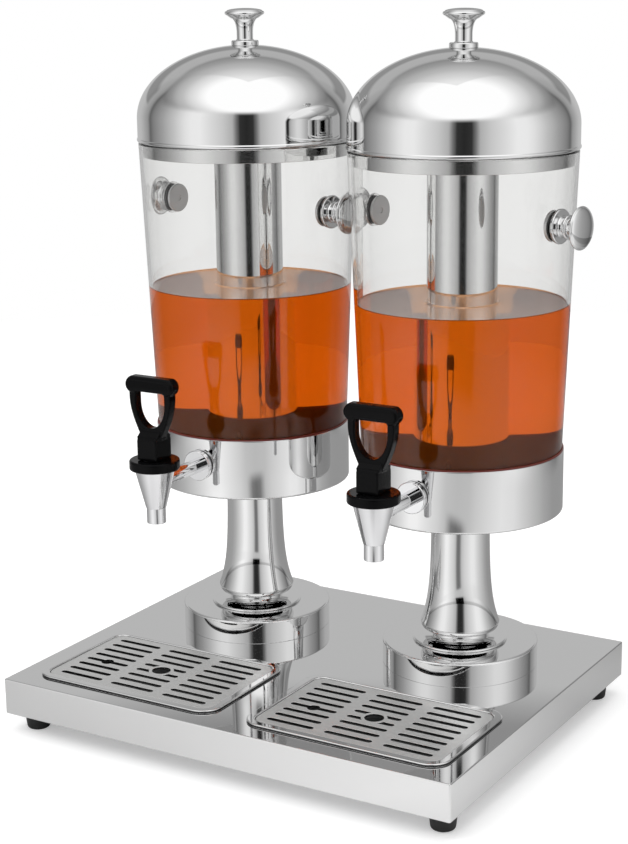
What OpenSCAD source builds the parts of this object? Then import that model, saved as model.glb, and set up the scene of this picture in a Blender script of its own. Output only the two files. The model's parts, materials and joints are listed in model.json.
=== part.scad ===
// Twin juice dispenser: two clear tanks on bright pedestals, each with a lever tap over a drip tray.
// Millimetres, +Z up, taps towards -Y, origin on the floor under the middle of the base.

/* [Base] */
// Width of the base box, left to right
base_w = 480; // [476:1:520]
// Depth of the base box, front to back
base_d = 382; // [372:1:420]
// Height of the base box
base_h = 35; // [32:0.5:45]
// Thickness of the sheet that the base box is folded from
base_sheet = 1.5; // [1:0.1:2.5]
// Radius of the upright corners of the base box
base_corner_r = 3; // [3:0.5:10]
// Width of the flange folded in round the underside
base_flange = 40; // [38:1:50]
// Thickness of the cover plate that closes the underside
cover_sheet = 1.2; // [0.8:0.1:2]
// Height of the rubber feet
foot_h = 19; // [14:0.5:24]
// Radius of a foot where it meets the base
foot_top_r = 13.2; // [11:0.1:15]
// Radius of a foot where it meets the table
foot_bottom_r = 10.9; // [8:0.1:11]
// Distance of each foot's centre from the side edge of the base
foot_inset_x = 19.3; // [18:0.1:30]
// Distance of each foot's centre from the front or back edge of the base
foot_inset_y = 25.1; // [18:0.1:32]
// Radius of a foot screw
foot_screw_r = 2.5; // [2:0.1:3]

/* [Places of the two units] */
// Distance of each tank's axis from the middle of the base
unit_x = 118; // [118:0.5:121]
// Distance of the tanks' axes behind the middle of the base
unit_y = 70; // [66:1:80]

/* [Pedestal] */
// Radius of the round pedestal disc
disc_r = 75.5; // [66:0.5:84]
// Height of the pedestal disc
disc_h = 23; // [18:0.5:30]
// Thickness of the sheet of the disc
disc_sheet = 2; // [1.2:0.1:3]
// Radius of the disc's rounded top edge
disc_edge_r = 1.6; // [0.5:0.1:3]
// Radius of the cast foot's flange on the disc
stem_foot_r = 46; // [42:0.5:54]
// Thickness of that flange
stem_foot_flange = 2.2; // [1.5:0.1:3.5]
// Radius of the cast foot's neck
stem_foot_neck_r = 26.5; // [22:0.5:27]
// Radius of the hollow curve between the flange and the neck
stem_foot_cove_r = 9; // [5:0.5:10]
// Height of the cast foot, which the stem sits on
stem_foot_h = 27; // [24:0.5:32]
// Radius of the bolt that clamps the pedestal to the base
bolt_r = 6; // [4:0.5:7]

/* [Stem] */
// Radius of the stem under the tank
stem_top_r = 28; // [26:0.5:32]
// Largest radius of the flared lower end
stem_flare_r = 38.3; // [36:0.1:42]
// Radius of the rim where the flare turns in
stem_lip_r = 33; // [31:0.5:35]
// Height over which the flare turns in to its rim
stem_lip_h = 7; // [5:0.5:8]
// Length over which the flare dies away upwards
stem_flare_len = 26; // [18:1:36]
// Wall of the stem
stem_wall = 2; // [1.5:0.1:2.5]
// Gap between the stem's rim and the disc
stem_rim_gap = 11; // [9:0.5:14]
// Height of the stem
stem_h = 123; // [100:1:150]

/* [Collar] */
// Outer radius of the polished collar round the foot of the tank
collar_r = 97.2; // [97:0.1:100]
// Height of the collar
collar_h = 59; // [50:1:70]
// Thickness of the collar's wall
collar_sheet = 1.5; // [1:0.1:1.6]
// Thickness of the collar's floor
collar_floor = 3; // [2:0.5:4]
// Radius of the collar's rounded lower edge
collar_edge_r = 2; // [1:0.5:4]
// Radius of the screws between collar and stem
stem_screw_r = 2; // [1.5:0.1:2.5]

/* [Tank] */
// Outer radius of the clear tank at its floor
tank_bottom_r = 93.4; // [90:0.1:93.6]
// Outer radius of the clear tank at its mouth
tank_top_r = 106.5; // [104:0.1:106.5]
// Height of the tank
tank_h = 334; // [320:1:350]
// Wall of the tank
tank_wall = 3; // [2.5:0.1:4]
// Thickness of the tank's floor
tank_floor = 4; // [3:0.5:6]
// Thickness of the rubber pad under the tank
pad_h = 3; // [3:0.1:5]
// Depth of juice in the tank
juice_depth = 188; // [60:1:240]

/* [Ice tube] */
// Outer radius of the metal ice tube
tube_r = 33; // [25:0.5:40]
// Wall of the ice tube
tube_wall = 1; // [0.8:0.1:2]
// Distance of the tube's open end below the tank's mouth
tube_drop = 6; // [3:0.5:30]
// Radius of the stud under the tube
tube_stud_r = 5; // [4:0.5:6]

/* [Lid] */
// Distance that the domed lid stands out beyond the tank's mouth
dome_over = 0.5; // [0:0.1:1]
// Height of the lid's upright lower part
dome_straight = 20; // [10:1:26]
// Height of the curved part above it
dome_rise = 69; // [55:1:85]
// Thickness of the lid's sheet
dome_sheet = 1.2; // [1:0.1:2]
// Radius of the bead rolled round the rim
bead_r = 2.4; // [2:0.1:3]
// Depth that the inner skirt reaches into the tank
skirt_h = 13.2; // [11:0.2:30]
// Clearance between the skirt and the tank's wall
skirt_gap = 0.8; // [0.5:0.1:1.5]
// Height of the lid's knob
lid_knob_h = 35.5; // [30:0.5:42]
// Radius of the lid knob's cap
lid_knob_r = 19.2; // [16:0.2:24]
// Radius of the lid knob's waist
lid_knob_waist_r = 7.9; // [6:0.1:10]
// Radius of the ring at the lid knob's foot
lid_knob_foot_r = 13.3; // [11:0.1:14]
// Radius of the screw in the lid knob
lid_screw_r = 1.75; // [1.5:0.05:2.5]

/* [Side knobs] */
// Height of the side knobs, as a share of the height inside the tank
knob_share = 0.809; // [0.7:0.001:0.81]
// Turn of the side knobs about the tank, so that neighbouring knobs pass each other
knob_turn = 8.8; // [8.8:0.1:10]
// Radius of a side knob's head
knob_head_r = 19.6; // [16:0.2:19.6]
// Length of a side knob from its wall flange
knob_len = 27; // [24:0.5:27]
// Radius of its wall flange
knob_flange_r = 15.9; // [13:0.1:16]
// Radius of its neck
knob_neck_r = 8.5; // [7:0.1:10]
// Radius of the disc head of its bolt inside the tank
knob_disc_r = 14.3; // [11:0.1:16]
// Radius of its bolt
knob_bolt_r = 3; // [2.5:0.1:4]
// Thickness of the rubber seals where something passes through the tank's wall
seal_t = 1; // [0.8:0.1:1.4]

/* [Tap] */
// Distance of the tap's axis in front of the collar
tap_reach = 73.8; // [66:0.2:80]
// Height of the tap's shank above the collar's underside
tap_up = 33; // [31:0.5:36]
// Radius of the shank
shank_r = 7; // [6:0.1:8]
// Radius of the shank's threaded end
shank_thread_r = 6; // [5:0.1:6.5]
// Radius of the round flange nut against the collar
flange_nut_r = 15; // [12:0.5:17]
// Thickness of that nut
flange_nut_t = 5; // [4:0.5:7]
// Outer radius of the tap's body at its top
cone_top_r = 19.1; // [17:0.1:21]
// Outer radius at the foot of the cone
cone_bottom_r = 9.6; // [9.4:0.1:11]
// Height of the cone
cone_h = 37.7; // [34:0.1:42]
// Length of the straight spout under the cone
spout_h = 15; // [10:0.2:20]
// Outer radius of the spout
spout_r = 9.1; // [8.4:0.1:9.3]
// Radius of the bore through the spout
spout_bore_r = 6; // [5:0.1:6.4]
// Wall of the tap's body
tap_wall = 2.5; // [2:0.1:3]
// Height of the shank's axis below the top of the cone
shank_below = 14; // [12.5:0.1:16]
// Radius of the black bonnet ring
bonnet_r = 23.9; // [20:0.1:27]
// Thickness of the bonnet ring
bonnet_t = 9.5; // [7:0.1:11]
// Width of the lever's block, left to right
block_w = 22; // [20:0.5:26]
// Depth of the lever's block, front to back
block_d = 25; // [23:0.5:28]
// Height of the lever's block
block_h = 22; // [20:0.5:28]
// Width of the gap between the two cheeks of the block
block_gap = 13; // [11:0.5:14]
// Width of the grip bar
bar_w = 55; // [46:1:62]
// Height of the grip bar
bar_h = 14.5; // [11:0.5:16]
// Depth of the grip bar
bar_d = 14; // [12:0.5:17]
// Height of the lever's finger loop, block to bar
loop_h = 42; // [36:1:50]
// Thickness of the loop's arms, left to right
arm_t = 6.5; // [5:0.5:9]
// Depth of the loop's arms, front to back
arm_d = 10.5; // [8:0.5:12]
// Swing of the lever from closed to open, in degrees
lever_swing = 30; // [20:1:32]
// Radius of the pin through the lever
pin_r = 2; // [1.5:0.1:2.2]
// Radius of the valve stem
valve_r = 2.5; // [2:0.1:3]
// Radius of the silicone seat cup
cup_r = 7.4; // [6.9:0.1:7.8]
// Height of the seat cup
cup_h = 10; // [8:0.5:12]

/* [Drip tray] */
// Distance of each tray's middle from the middle of the base
tray_x = 118; // [113:0.5:118]
// Distance of the trays' middle in front of the middle of the base
tray_y = 102; // [98:0.5:107]
// Width of a tray over its rim
tray_w = 205; // [190:1:208]
// Depth of a tray over its rim, front to back
tray_d = 136; // [126:1:142]
// Radius of the tray's corners
tray_r = 19.5; // [16:0.5:28]
// Width of the tray's rim
rim_w = 8; // [6:0.5:9]
// Height of the rim above the base
rim_h = 2.2; // [1.8:0.1:3.5]
// Depth of the tray below the base
tray_deep = 22; // [14:1:26]
// Thickness of the tray's sheet
tray_sheet = 1.2; // [0.8:0.1:2]
// Width of the ledge that the grille lies on
ledge_w = 6; // [4:0.5:8]
// Thickness of the grille
grille_t = 1.5; // [1:0.1:2]
// Height of the rim above the top of the grille
grille_set = 1; // [0.5:0.1:2]
// Columns of slots
slot_columns = 3; // [1:1:3]
// Rows of slots
slot_rows = 8; // [2:2:8]
// Length of a slot
slot_len = 48; // [30:1:50]
// Width of a slot
slot_w = 5.5; // [4:0.1:7]
// Distance from column to column
slot_pitch_x = 59.8; // [54:0.1:62]
// Distance from row to row
slot_pitch_y = 13.6; // [11:0.1:14.2]
// Radius of the finger hole in the middle of the grille
finger_hole_r = 9; // [7:0.5:11]
// Radius of the drain hole in the middle of the left column
drain_hole_r = 6; // [4:0.5:7]
// Metal left between the finger hole and the slots beside it
hole_bridge = 3.2; // [2:0.1:5]

/* [Hidden] */
// Gap left between moving pieces where they seat
seat_gap = 0.3;
// Gap round bolts, studs and pieces that slip into each other
play = 0.2;
// Radial clearance of the sliding valve stem
stem_play = 0.05;
// Gap between the juice and the walls round it
juice_gap = 0.3;
// Gap between a rubber ring and the curved wall that it hugs
hug_gap = 0.2;
// Overrun of cuts
over = 1;
// Number of steps in a curved outline
steps = 24;
$fn = 96;

// Heights in the unit's own frame, from the top of the base
plate_z = foot_h + base_h;
stem_foot_z = disc_h;
web_z = disc_h + stem_foot_h;
web_t = 1.5 * stem_wall;
stem_lip_z = disc_h + stem_rim_gap;
stem_flare_z = stem_lip_z + stem_lip_h;
collar_z = stem_lip_z + stem_h;
tank_z = collar_z + collar_floor + pad_h;
tank_in_z = tank_z + tank_floor;
tank_top_z = tank_z + tank_h;
lid_z = tank_top_z + seat_gap;
bead_z = lid_z + bead_r;
knob_z = tank_in_z + knob_share * (tank_h - tank_floor);
tap_z = collar_z + tap_up;
cone_top_z = tap_z + shank_below;
cone_bottom_z = cone_top_z - cone_h;
bonnet_z = cone_top_z + bonnet_t;
lever_z = bonnet_z + seat_gap;

// Pedestal bolt and the holes that it passes
bolt_hole_r = bolt_r + play;
bolt_head_r = 1.7 * bolt_r;
bolt_head_h = 1.2 * bolt_r;
bolt_plate_r = 3.5 * bolt_r;
bolt_plate_h = 0.5 * bolt_r;
bolt_nut_z = -base_sheet - bolt_plate_h - bolt_head_h;
bolt_end_z = bolt_nut_z - 0.5 * bolt_r;

// Screws between the collar's floor and the stem's closed top
stem_screw_at = 0.74 * stem_top_r;
stem_screw_head_r = 1.75 * stem_screw_r;
stem_screw_head_h = 0.6 * pad_h;
stem_screw_count = 4;
stem_screw_len = collar_floor + web_t + 2 * stem_screw_r;
floor_hole_r = 0.5 * stem_top_r;

// Ice tube, its stud and its nut
tube_seal_t = 1.5 * seal_t;
tube_z = tank_in_z + tube_seal_t;
tube_h = tank_top_z - tube_drop - tube_z;
tube_floor = 2 * tube_wall;
tube_nut_r = 1.8 * tube_stud_r;
tube_nut_h = 1.2 * tube_stud_r;
tube_washer_r = 2.3 * tube_stud_r;
tube_stud_len = tube_seal_t + tank_floor + seal_t + 1.4 * tube_nut_h;

// Rubber pad and the seam ring on the collar's edge
pad_in_r = 1.15 * stem_top_r;
pad_out_r = 0.9 * tank_bottom_r;
seam_t = 1.5 * seal_t;

// Rounded edge of the tank's floor
tank_edge_r = 0.75 * tank_wall;

// Lid
dome_r = tank_top_r + dome_over;
bead_proud = 0.3 * bead_r;
bead_at = dome_r + bead_proud - bead_r;
dome_seat_r = lid_knob_foot_r + 2 * dome_sheet;
dome_seat_angle = acos(dome_seat_r / dome_r);
dome_in_angle = acos(dome_seat_r / (dome_r - dome_sheet));
dome_spring_z = bead_z + dome_straight;
dome_seat_z = dome_spring_z + dome_rise * sin(dome_seat_angle);
skirt_r = min(tank_r_at(lid_z - skirt_h) - tank_wall - skirt_gap, bead_at - bead_r - play);
skirt_flange_r = dome_r - dome_sheet - play;
skirt_flange_z = bead_z + bead_r + play;
lid_washer_r = 3.6 * lid_screw_r;
lid_screw_head_r = 2 * lid_screw_r;
lid_screw_head_h = 1.2 * lid_screw_r;
lid_screw_in = 0.4 * lid_knob_h;

// Side knobs, measured outwards from the tank's axis
knob_wall_r = tank_r_at(knob_z);
knob_seat = knob_wall_r + seal_t;
knob_disc_t = 0.2 * knob_disc_r;
knob_disc_face = knob_wall_r - tank_wall - 2 * seal_t;
knob_seal_r = 0.94 * knob_disc_r;
knob_seal_deep = 2 * tank_wall;
knob_bolt_in = 0.45 * knob_len;

// Tap, measured forwards from the tank's axis
tap_at = collar_r + tap_reach;
nut_back = collar_r + seal_t;
nut_front = nut_back + flange_nut_t;
tap_wall_r = tank_r_at(tap_z) - tank_wall;
lock_nut_r = 2 * shank_thread_r;
lock_nut_t = shank_thread_r;
lock_nut_front = tap_wall_r - 2 * seal_t;
lock_nut_back = lock_nut_front - lock_nut_t;
shank_end = lock_nut_back - 0.25 * lock_nut_t;
shank_bore_r = 0.65 * shank_thread_r;
tap_seal_r = 0.93 * flange_nut_r;
cavity_z = cone_bottom_z + 2 * tap_wall;
plug_h = 2 * tap_wall;
plug_r = cone_top_r - tap_wall - plug_h * (cone_top_r - cone_bottom_r) / cone_h - play;

// Lever: it rocks on its front lower edge, and its pin lifts the valve stem's slotted head
lever_arm = block_d / 2;
pin_up = 0.29 * block_h;
pin_shift = lever_arm * (1 - cos(lever_swing)) + pin_up * sin(lever_swing);
slot_r = 1.3 * pin_r;
head_front = pin_shift + slot_r + pin_r;
head_back = slot_r + 1.4 * pin_r;
head_w = block_gap - 2 * seat_gap;
head_z = bonnet_z + 2 * seat_gap;
head_top_z = lever_z + pin_up + slot_r + 1.2 * pin_r;
gap_h = 0.77 * block_h;
gap_front = head_front + 2 * seat_gap;
block_corner_r = 0.1 * block_w;
pin_len = block_w - 2 * play;
cup_z = cavity_z + seat_gap;
cup_bite = 0.55 * cup_h;
cup_foot_share = 0.85;
neck_w = 1.06 * block_w;
hole_low = 0.19 * loop_h;
hole_mid = 0.74 * loop_h;
shoulder = 0.9 * loop_h;
loop_w = bar_w - 1.2 * arm_t;
bar_round = 0.42 * bar_h;

// Tray, well and grille
well_w = tray_w - 2 * rim_w;
well_d = tray_d - 2 * rim_w;
well_r = tray_r - rim_w;
inner_w = well_w - 2 * ledge_w;
inner_d = well_d - 2 * ledge_w;
inner_r = max(well_r - ledge_w, tray_sheet);
shell_w = well_w + 2 * tray_sheet;
shell_d = well_d + 2 * tray_sheet;
shell_r = well_r + tray_sheet;
grille_top = rim_h + seat_gap - grille_set;
ledge_top = grille_top - grille_t - seat_gap;
cutout_play = 2 * play;

// Feet and their screws
foot_x = base_w / 2 - foot_inset_x;
foot_y = base_d / 2 - foot_inset_y;
foot_head_r = 1.7 * foot_screw_r;
foot_head_h = 1.2 * foot_screw_r;
foot_sink = foot_h / 2;
foot_nut_r = 2 * foot_screw_r;
foot_nut_h = 1.2 * foot_screw_r;
flange_z = foot_h + cover_sheet;

left = -1;
right = 1;
sides = [left, right];

// Outer radius of the tapered tank at a height in the unit's frame
function tank_r_at(z) = tank_bottom_r + (tank_top_r - tank_bottom_r) * (z - tank_z) / tank_h;

// Outer radius of the flared stem at a height above the flare's widest place
function stem_fade(h) = exp(-h / stem_flare_len);
stem_fade_end = stem_fade(stem_h - stem_lip_h);
function stem_r_at(h) =
    stem_top_r + (stem_flare_r - stem_top_r) * (stem_fade(h) - stem_fade_end) / (1 - stem_fade_end);

// Points along an elliptical arc from one angle to another
function arc(cx, cy, rx, ry, from, to, count = steps) =
    [for (i = [0 : count]) let (a = from + (to - from) * i / count) [cx + rx * cos(a), cy + ry * sin(a)]];

module at_unit(side) translate([side * unit_x, unit_y, plate_z]) children();

// The axis of each side knob, with its own +Z pointing out of the tank
module at_knobs()
    translate([0, 0, knob_z]) rotate(-knob_turn)
        for (turn = [0, 180]) rotate(turn) rotate([0, 90, 0]) children();

// The axis of the tap's shank, with its own +Z pointing forwards
module at_shank() translate([0, 0, tap_z]) rotate([90, 0, 0]) children();

// The upright axis of the tap
module at_tap() translate([0, -tap_at, 0]) children();

module at_tray(side) translate([side * tray_x, -tray_y, plate_z]) children();

module at_feet()
    for (x = [-foot_x, foot_x], y = [-foot_y, foot_y]) translate([x, y, 0]) children();

// A flat outline with round corners, centred
module round_rect(w, d, r) {
    square([w - 2 * r, d], center = true);
    square([w, d - 2 * r], center = true);
    for (x = [-1, 1], y = [-1, 1]) translate([x * (w / 2 - r), y * (d / 2 - r)]) circle(r = r);
}

// A round tube or washer
module ring(inner, outer, h) {
    rotate_extrude() translate([inner, 0]) square([outer - inner, h]);
}

// The space that the tank fills, grown or shrunk sideways
module tank_space(grow) {
    translate([0, 0, tank_z - over])
        cylinder(r1 = tank_r_at(tank_z - over) + grow, r2 = tank_r_at(tank_top_z + over) + grow,
            h = tank_h + 2 * over);
}

// Base box: a folded sheet with two tray openings and a flange turned in underneath
module base_pan() {
    color("silver") difference() {
        translate([0, 0, foot_h]) linear_extrude(base_h) round_rect(base_w, base_d, base_corner_r);
        translate([0, 0, flange_z + base_sheet]) linear_extrude(plate_z - flange_z - 2 * base_sheet)
            round_rect(base_w - 2 * base_sheet, base_d - 2 * base_sheet, base_corner_r - base_sheet);
        translate([0, 0, flange_z - over]) linear_extrude(base_sheet + 2 * over)
            square([base_w - 2 * base_flange, base_d - 2 * base_flange], center = true);
        translate([0, 0, foot_h - over]) linear_extrude(cover_sheet + over)
            round_rect(base_w - 2 * base_sheet, base_d - 2 * base_sheet, base_corner_r - base_sheet);
        at_feet() translate([0, 0, foot_h]) cylinder(r = foot_screw_r + play, h = base_h / 2);
        for (side = sides) {
            at_tray(side) translate([0, 0, -base_sheet - over]) linear_extrude(base_sheet + 2 * over)
                round_rect(shell_w + 2 * cutout_play, shell_d + 2 * cutout_play, shell_r + cutout_play);
            at_unit(side) translate([0, 0, -base_sheet - over])
                cylinder(r = bolt_hole_r, h = base_sheet + 2 * over);
        }
    }
}

// Plate that closes the base from below
module base_cover() {
    color("gray") difference() {
        translate([0, 0, foot_h]) linear_extrude(cover_sheet)
            round_rect(base_w - 2 * base_sheet - cutout_play, base_d - 2 * base_sheet - cutout_play,
                base_corner_r - base_sheet);
        at_feet() translate([0, 0, foot_h - over])
            cylinder(r = foot_screw_r + play, h = cover_sheet + 2 * over);
    }
}

// Four tapered rubber feet, each hollowed from below for its screw
module feet() {
    color("black") at_feet() difference() {
        cylinder(r1 = foot_bottom_r, r2 = foot_top_r, h = foot_h);
        translate([0, 0, -over]) cylinder(r = foot_head_r + play, h = foot_sink + over);
        translate([0, 0, -over]) cylinder(r = foot_screw_r + play, h = foot_h + 2 * over);
    }
}

// The screws of the feet and their nuts on the base's flange
module foot_screws() {
    nut_z = flange_z + base_sheet;
    color("dimgray") at_feet() {
        translate([0, 0, foot_sink - foot_head_h]) cylinder(r = foot_head_r, h = foot_head_h);
        translate([0, 0, foot_sink - foot_head_h])
            cylinder(r = foot_screw_r, h = nut_z + foot_nut_h + foot_screw_r - foot_sink + foot_head_h);
        translate([0, 0, nut_z]) difference() {
            cylinder(r = foot_nut_r, h = foot_nut_h, $fn = 6);
            translate([0, 0, -over]) cylinder(r = foot_screw_r + play, h = foot_nut_h + 2 * over);
        }
    }
}

// The bolt, plate and nut that clamp each pedestal to the base
module pedestal_bolts() {
    color("dimgray") for (side = sides) at_unit(side) {
        translate([0, 0, web_z + web_t]) cylinder(r = bolt_head_r, h = bolt_head_h, $fn = 6);
        translate([0, 0, bolt_end_z])
            cylinder(r = bolt_r, h = web_z + web_t + bolt_head_h / 2 - bolt_end_z);
        translate([0, 0, -base_sheet - bolt_plate_h]) ring(bolt_hole_r, bolt_plate_r, bolt_plate_h);
        translate([0, 0, bolt_nut_z]) difference() {
            cylinder(r = bolt_head_r, h = bolt_head_h, $fn = 6);
            translate([0, 0, -over]) cylinder(r = bolt_hole_r, h = bolt_head_h + 2 * over);
        }
    }
}

// The round disc that each pedestal stands on, a drawn cap open underneath
module pedestal_disc(side) {
    color("silver") at_unit(side) rotate_extrude() polygon(concat(
        [[disc_r - disc_sheet, 0], [disc_r, 0]],
        arc(disc_r - disc_edge_r, disc_h - disc_edge_r, disc_edge_r, disc_edge_r, 0, 90),
        [[bolt_hole_r, disc_h], [bolt_hole_r, disc_h - disc_sheet],
         [disc_r - disc_sheet, disc_h - disc_sheet]]));
}

// The cast foot on the disc, with a thin flange and a neck that carries the stem
module stem_foot(side) {
    half = stem_foot_flange / 2;
    color("silver") at_unit(side) translate([0, 0, stem_foot_z]) rotate_extrude() polygon(concat(
        [[bolt_hole_r, 0]],
        arc(stem_foot_r - half, half, half, half, -90, 90),
        arc(stem_foot_neck_r + stem_foot_cove_r, stem_foot_flange + stem_foot_cove_r,
            stem_foot_cove_r, stem_foot_cove_r, 270, 180),
        [[stem_foot_neck_r, stem_foot_h], [bolt_hole_r, stem_foot_h]]));
}

// Points up the outside of the stem, moved inwards by a wall
function stem_side(in, top) = concat(
    arc(stem_lip_r - in, stem_flare_z, stem_flare_r - stem_lip_r, stem_lip_h, -90, 0),
    [for (i = [1 : steps]) let (h = (top - stem_flare_z) * pow(i / steps, 1.5))
        [stem_r_at(h) - in, stem_flare_z + h]]);

function flip(points) = [for (i = [len(points) - 1 : -1 : 0]) points[i]];

// The flared hollow stem, with a web that sits on the cast foot and a closed top under the collar
module stem(side) {
    color("silver") at_unit(side) difference() {
        union() {
            rotate_extrude() polygon(concat(
                stem_side(0, collar_z),
                [[floor_hole_r, collar_z], [floor_hole_r, collar_z - web_t]],
                flip(stem_side(stem_wall, collar_z - web_t))));
            translate([0, 0, web_z])
                ring(bolt_hole_r, stem_r_at(web_z + web_t - stem_flare_z) - stem_wall / 2, web_t);
        }
        at_stem_screws() translate([0, 0, collar_z - web_t - over])
            cylinder(r = stem_screw_r + stem_play, h = web_t + 2 * over);
    }
}

module at_stem_screws()
    for (i = [0 : stem_screw_count - 1]) rotate(45 + 360 * i / stem_screw_count)
        translate([stem_screw_at, 0, 0]) children();

module stem_screws() {
    color("dimgray") for (side = sides) at_unit(side) at_stem_screws() {
        translate([0, 0, collar_z + collar_floor]) cylinder(r = stem_screw_head_r, h = stem_screw_head_h);
        translate([0, 0, collar_z + collar_floor - stem_screw_len])
            cylinder(r = stem_screw_r, h = stem_screw_len + stem_screw_head_h / 2);
    }
}

// The polished collar, a cup that holds the foot of the tank
module collar(side) {
    color("silver") at_unit(side) difference() {
        translate([0, 0, collar_z]) rotate_extrude() polygon(concat(
            [[floor_hole_r, 0]],
            arc(collar_r - collar_edge_r, collar_edge_r, collar_edge_r, collar_edge_r, -90, 0),
            [[collar_r, collar_h], [collar_r - collar_sheet, collar_h],
             [collar_r - collar_sheet, collar_floor], [floor_hole_r, collar_floor]]));
        at_stem_screws() translate([0, 0, collar_z - over])
            cylinder(r = stem_screw_r + play, h = collar_floor + 2 * over);
        at_shank() translate([0, 0, collar_r - 2 * collar_sheet - over])
            cylinder(r = shank_thread_r + cutout_play, h = 2 * collar_sheet + 2 * over);
    }
}

// The pad under the tank and the dark ring in the seam between collar and tank
module tank_seals(side) {
    color("maroon") at_unit(side) {
        translate([0, 0, tank_z - pad_h]) ring(pad_in_r, pad_out_r, pad_h);
        difference() {
            translate([0, 0, collar_z + collar_h]) cylinder(r = collar_r - hug_gap, h = seam_t);
            tank_space(hug_gap);
        }
    }
}

// The clear tapered tank
module tank(side) {
    rim_r = tank_wall / 2;
    rim_z = tank_top_z - rim_r;
    rim_at = tank_r_at(rim_z) - rim_r;
    edge_at = tank_r_at(tank_z + tank_edge_r) - tank_edge_r;
    color("aliceblue", 0.3) at_unit(side) difference() {
        rotate_extrude() polygon(concat(
            [[tube_stud_r + play, tank_z]],
            arc(edge_at, tank_z + tank_edge_r, tank_edge_r, tank_edge_r, -90, 0),
            arc(rim_at, rim_z, rim_r, rim_r, 0, 180),
            [[tank_r_at(tank_in_z) - tank_wall, tank_in_z], [tube_stud_r + play, tank_in_z]]));
        at_knobs() translate([0, 0, knob_wall_r - 2 * tank_wall])
            cylinder(r = knob_bolt_r + play, h = 4 * tank_wall);
        at_shank() translate([0, 0, tap_wall_r - tank_wall])
            cylinder(r = shank_thread_r + cutout_play, h = 4 * tank_wall);
    }
}

// The juice between the tank and the ice tube
module juice(side) {
    low_z = tank_in_z + juice_gap;
    top_z = tank_in_z + juice_depth;
    in_r = tube_r + juice_gap;
    pocket_r = max(tap_seal_r, lock_nut_r) + juice_gap;
    color("sandybrown", 0.8) at_unit(side) difference() {
        rotate_extrude() polygon([
            [in_r, low_z], [tank_r_at(low_z) - tank_wall - juice_gap, low_z],
            [tank_r_at(top_z) - tank_wall - juice_gap, top_z], [in_r, top_z]]);
        at_shank() translate([0, 0, shank_end - juice_gap])
            cylinder(r = pocket_r, h = tap_wall_r - shank_end + tank_wall);
    }
}

// The metal tube for ice, closed below, with a stud through the tank's floor
module ice_tube(side) {
    color("silver") at_unit(side) {
        translate([0, 0, tube_z]) rotate_extrude() polygon([
            [0, 0], [tube_r, 0], [tube_r, tube_h], [tube_r - tube_wall, tube_h],
            [tube_r - tube_wall, tube_floor], [0, tube_floor]]);
        translate([0, 0, tube_z - tube_stud_len])
            cylinder(r = tube_stud_r, h = tube_stud_len + tube_floor / 2);
    }
}

module tube_seals() {
    color("dimgray") for (side = sides) at_unit(side) {
        translate([0, 0, tank_in_z]) ring(tube_stud_r + play, 0.8 * tube_r, tube_seal_t);
        translate([0, 0, tank_z - seal_t]) ring(tube_stud_r + play, tube_washer_r, seal_t);
    }
}

module tube_nuts() {
    color("silver") for (side = sides) at_unit(side)
        translate([0, 0, tank_z - seal_t - tube_nut_h]) difference() {
            cylinder(r = tube_nut_r, h = tube_nut_h, $fn = 6);
            translate([0, 0, -over]) cylinder(r = tube_stud_r + play, h = tube_nut_h + 2 * over);
        }
}

// The two mushroom knobs on each tank, the handles it is lifted by
module side_knobs(side) {
    edge = 0.04 * knob_len;
    flange_t = 0.11 * knob_len;
    cove = 0.07 * knob_len;
    head_low = 0.55 * knob_len;
    under = 0.8 * knob_len;
    color("silver") at_unit(side) at_knobs() translate([0, 0, knob_seat]) difference() {
        rotate_extrude() polygon(concat(
            [[0, 0], [knob_flange_r, 0]],
            arc(knob_flange_r - edge, flange_t - edge, edge, edge, 0, 90, steps / 4),
            arc(knob_neck_r + cove, flange_t + cove, cove, cove, 270, 180, steps / 4),
            arc(knob_neck_r, 0.38 * knob_len, 0.3 * knob_neck_r, 0.06 * knob_len, -90, 90, steps / 2),
            arc(knob_head_r - edge, head_low, knob_head_r - edge - knob_neck_r, under - head_low, 180, 90),
            arc(knob_head_r - edge, under + edge, edge, edge, -90, 90, steps / 2),
            arc(0, under + 2 * edge, knob_head_r - edge, knob_len - under - 2 * edge, 0, 90)));
        translate([0, 0, -over]) cylinder(r = knob_bolt_r + stem_play, h = knob_bolt_in + 2 * over);
    }
}

// The bolts of the side knobs, with their disc heads inside the tank
module knob_bolts() {
    dimple_r = 0.2 * knob_disc_r;
    color("silver") for (side = sides) at_unit(side) at_knobs() difference() {
        union() {
            translate([0, 0, knob_disc_face - knob_disc_t]) cylinder(r = knob_disc_r, h = knob_disc_t);
            translate([0, 0, knob_disc_face - knob_disc_t / 2])
                cylinder(r = knob_bolt_r, h = knob_seat + knob_bolt_in - knob_disc_face + knob_disc_t / 2);
        }
        translate([0, 0, knob_disc_face - knob_disc_t - over])
            cylinder(r = dimple_r, h = over + knob_disc_t / 3);
    }
}

// Rubber saddles on both sides of the tank's wall at every side knob
module knob_seals() {
    color("dimgray") for (side = sides) at_unit(side) {
        difference() {
            at_knobs() translate([0, 0, knob_wall_r - tank_wall])
                cylinder(r = knob_seal_r, h = tank_wall + seal_t);
            tank_space(hug_gap);
            at_knobs() cylinder(r = knob_bolt_r + play, h = 2 * knob_wall_r);
        }
        intersection() {
            at_knobs() translate([0, 0, knob_disc_face])
                ring(knob_bolt_r + play, knob_seal_r, knob_seal_deep);
            tank_space(-tank_wall - hug_gap);
        }
    }
}

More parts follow.
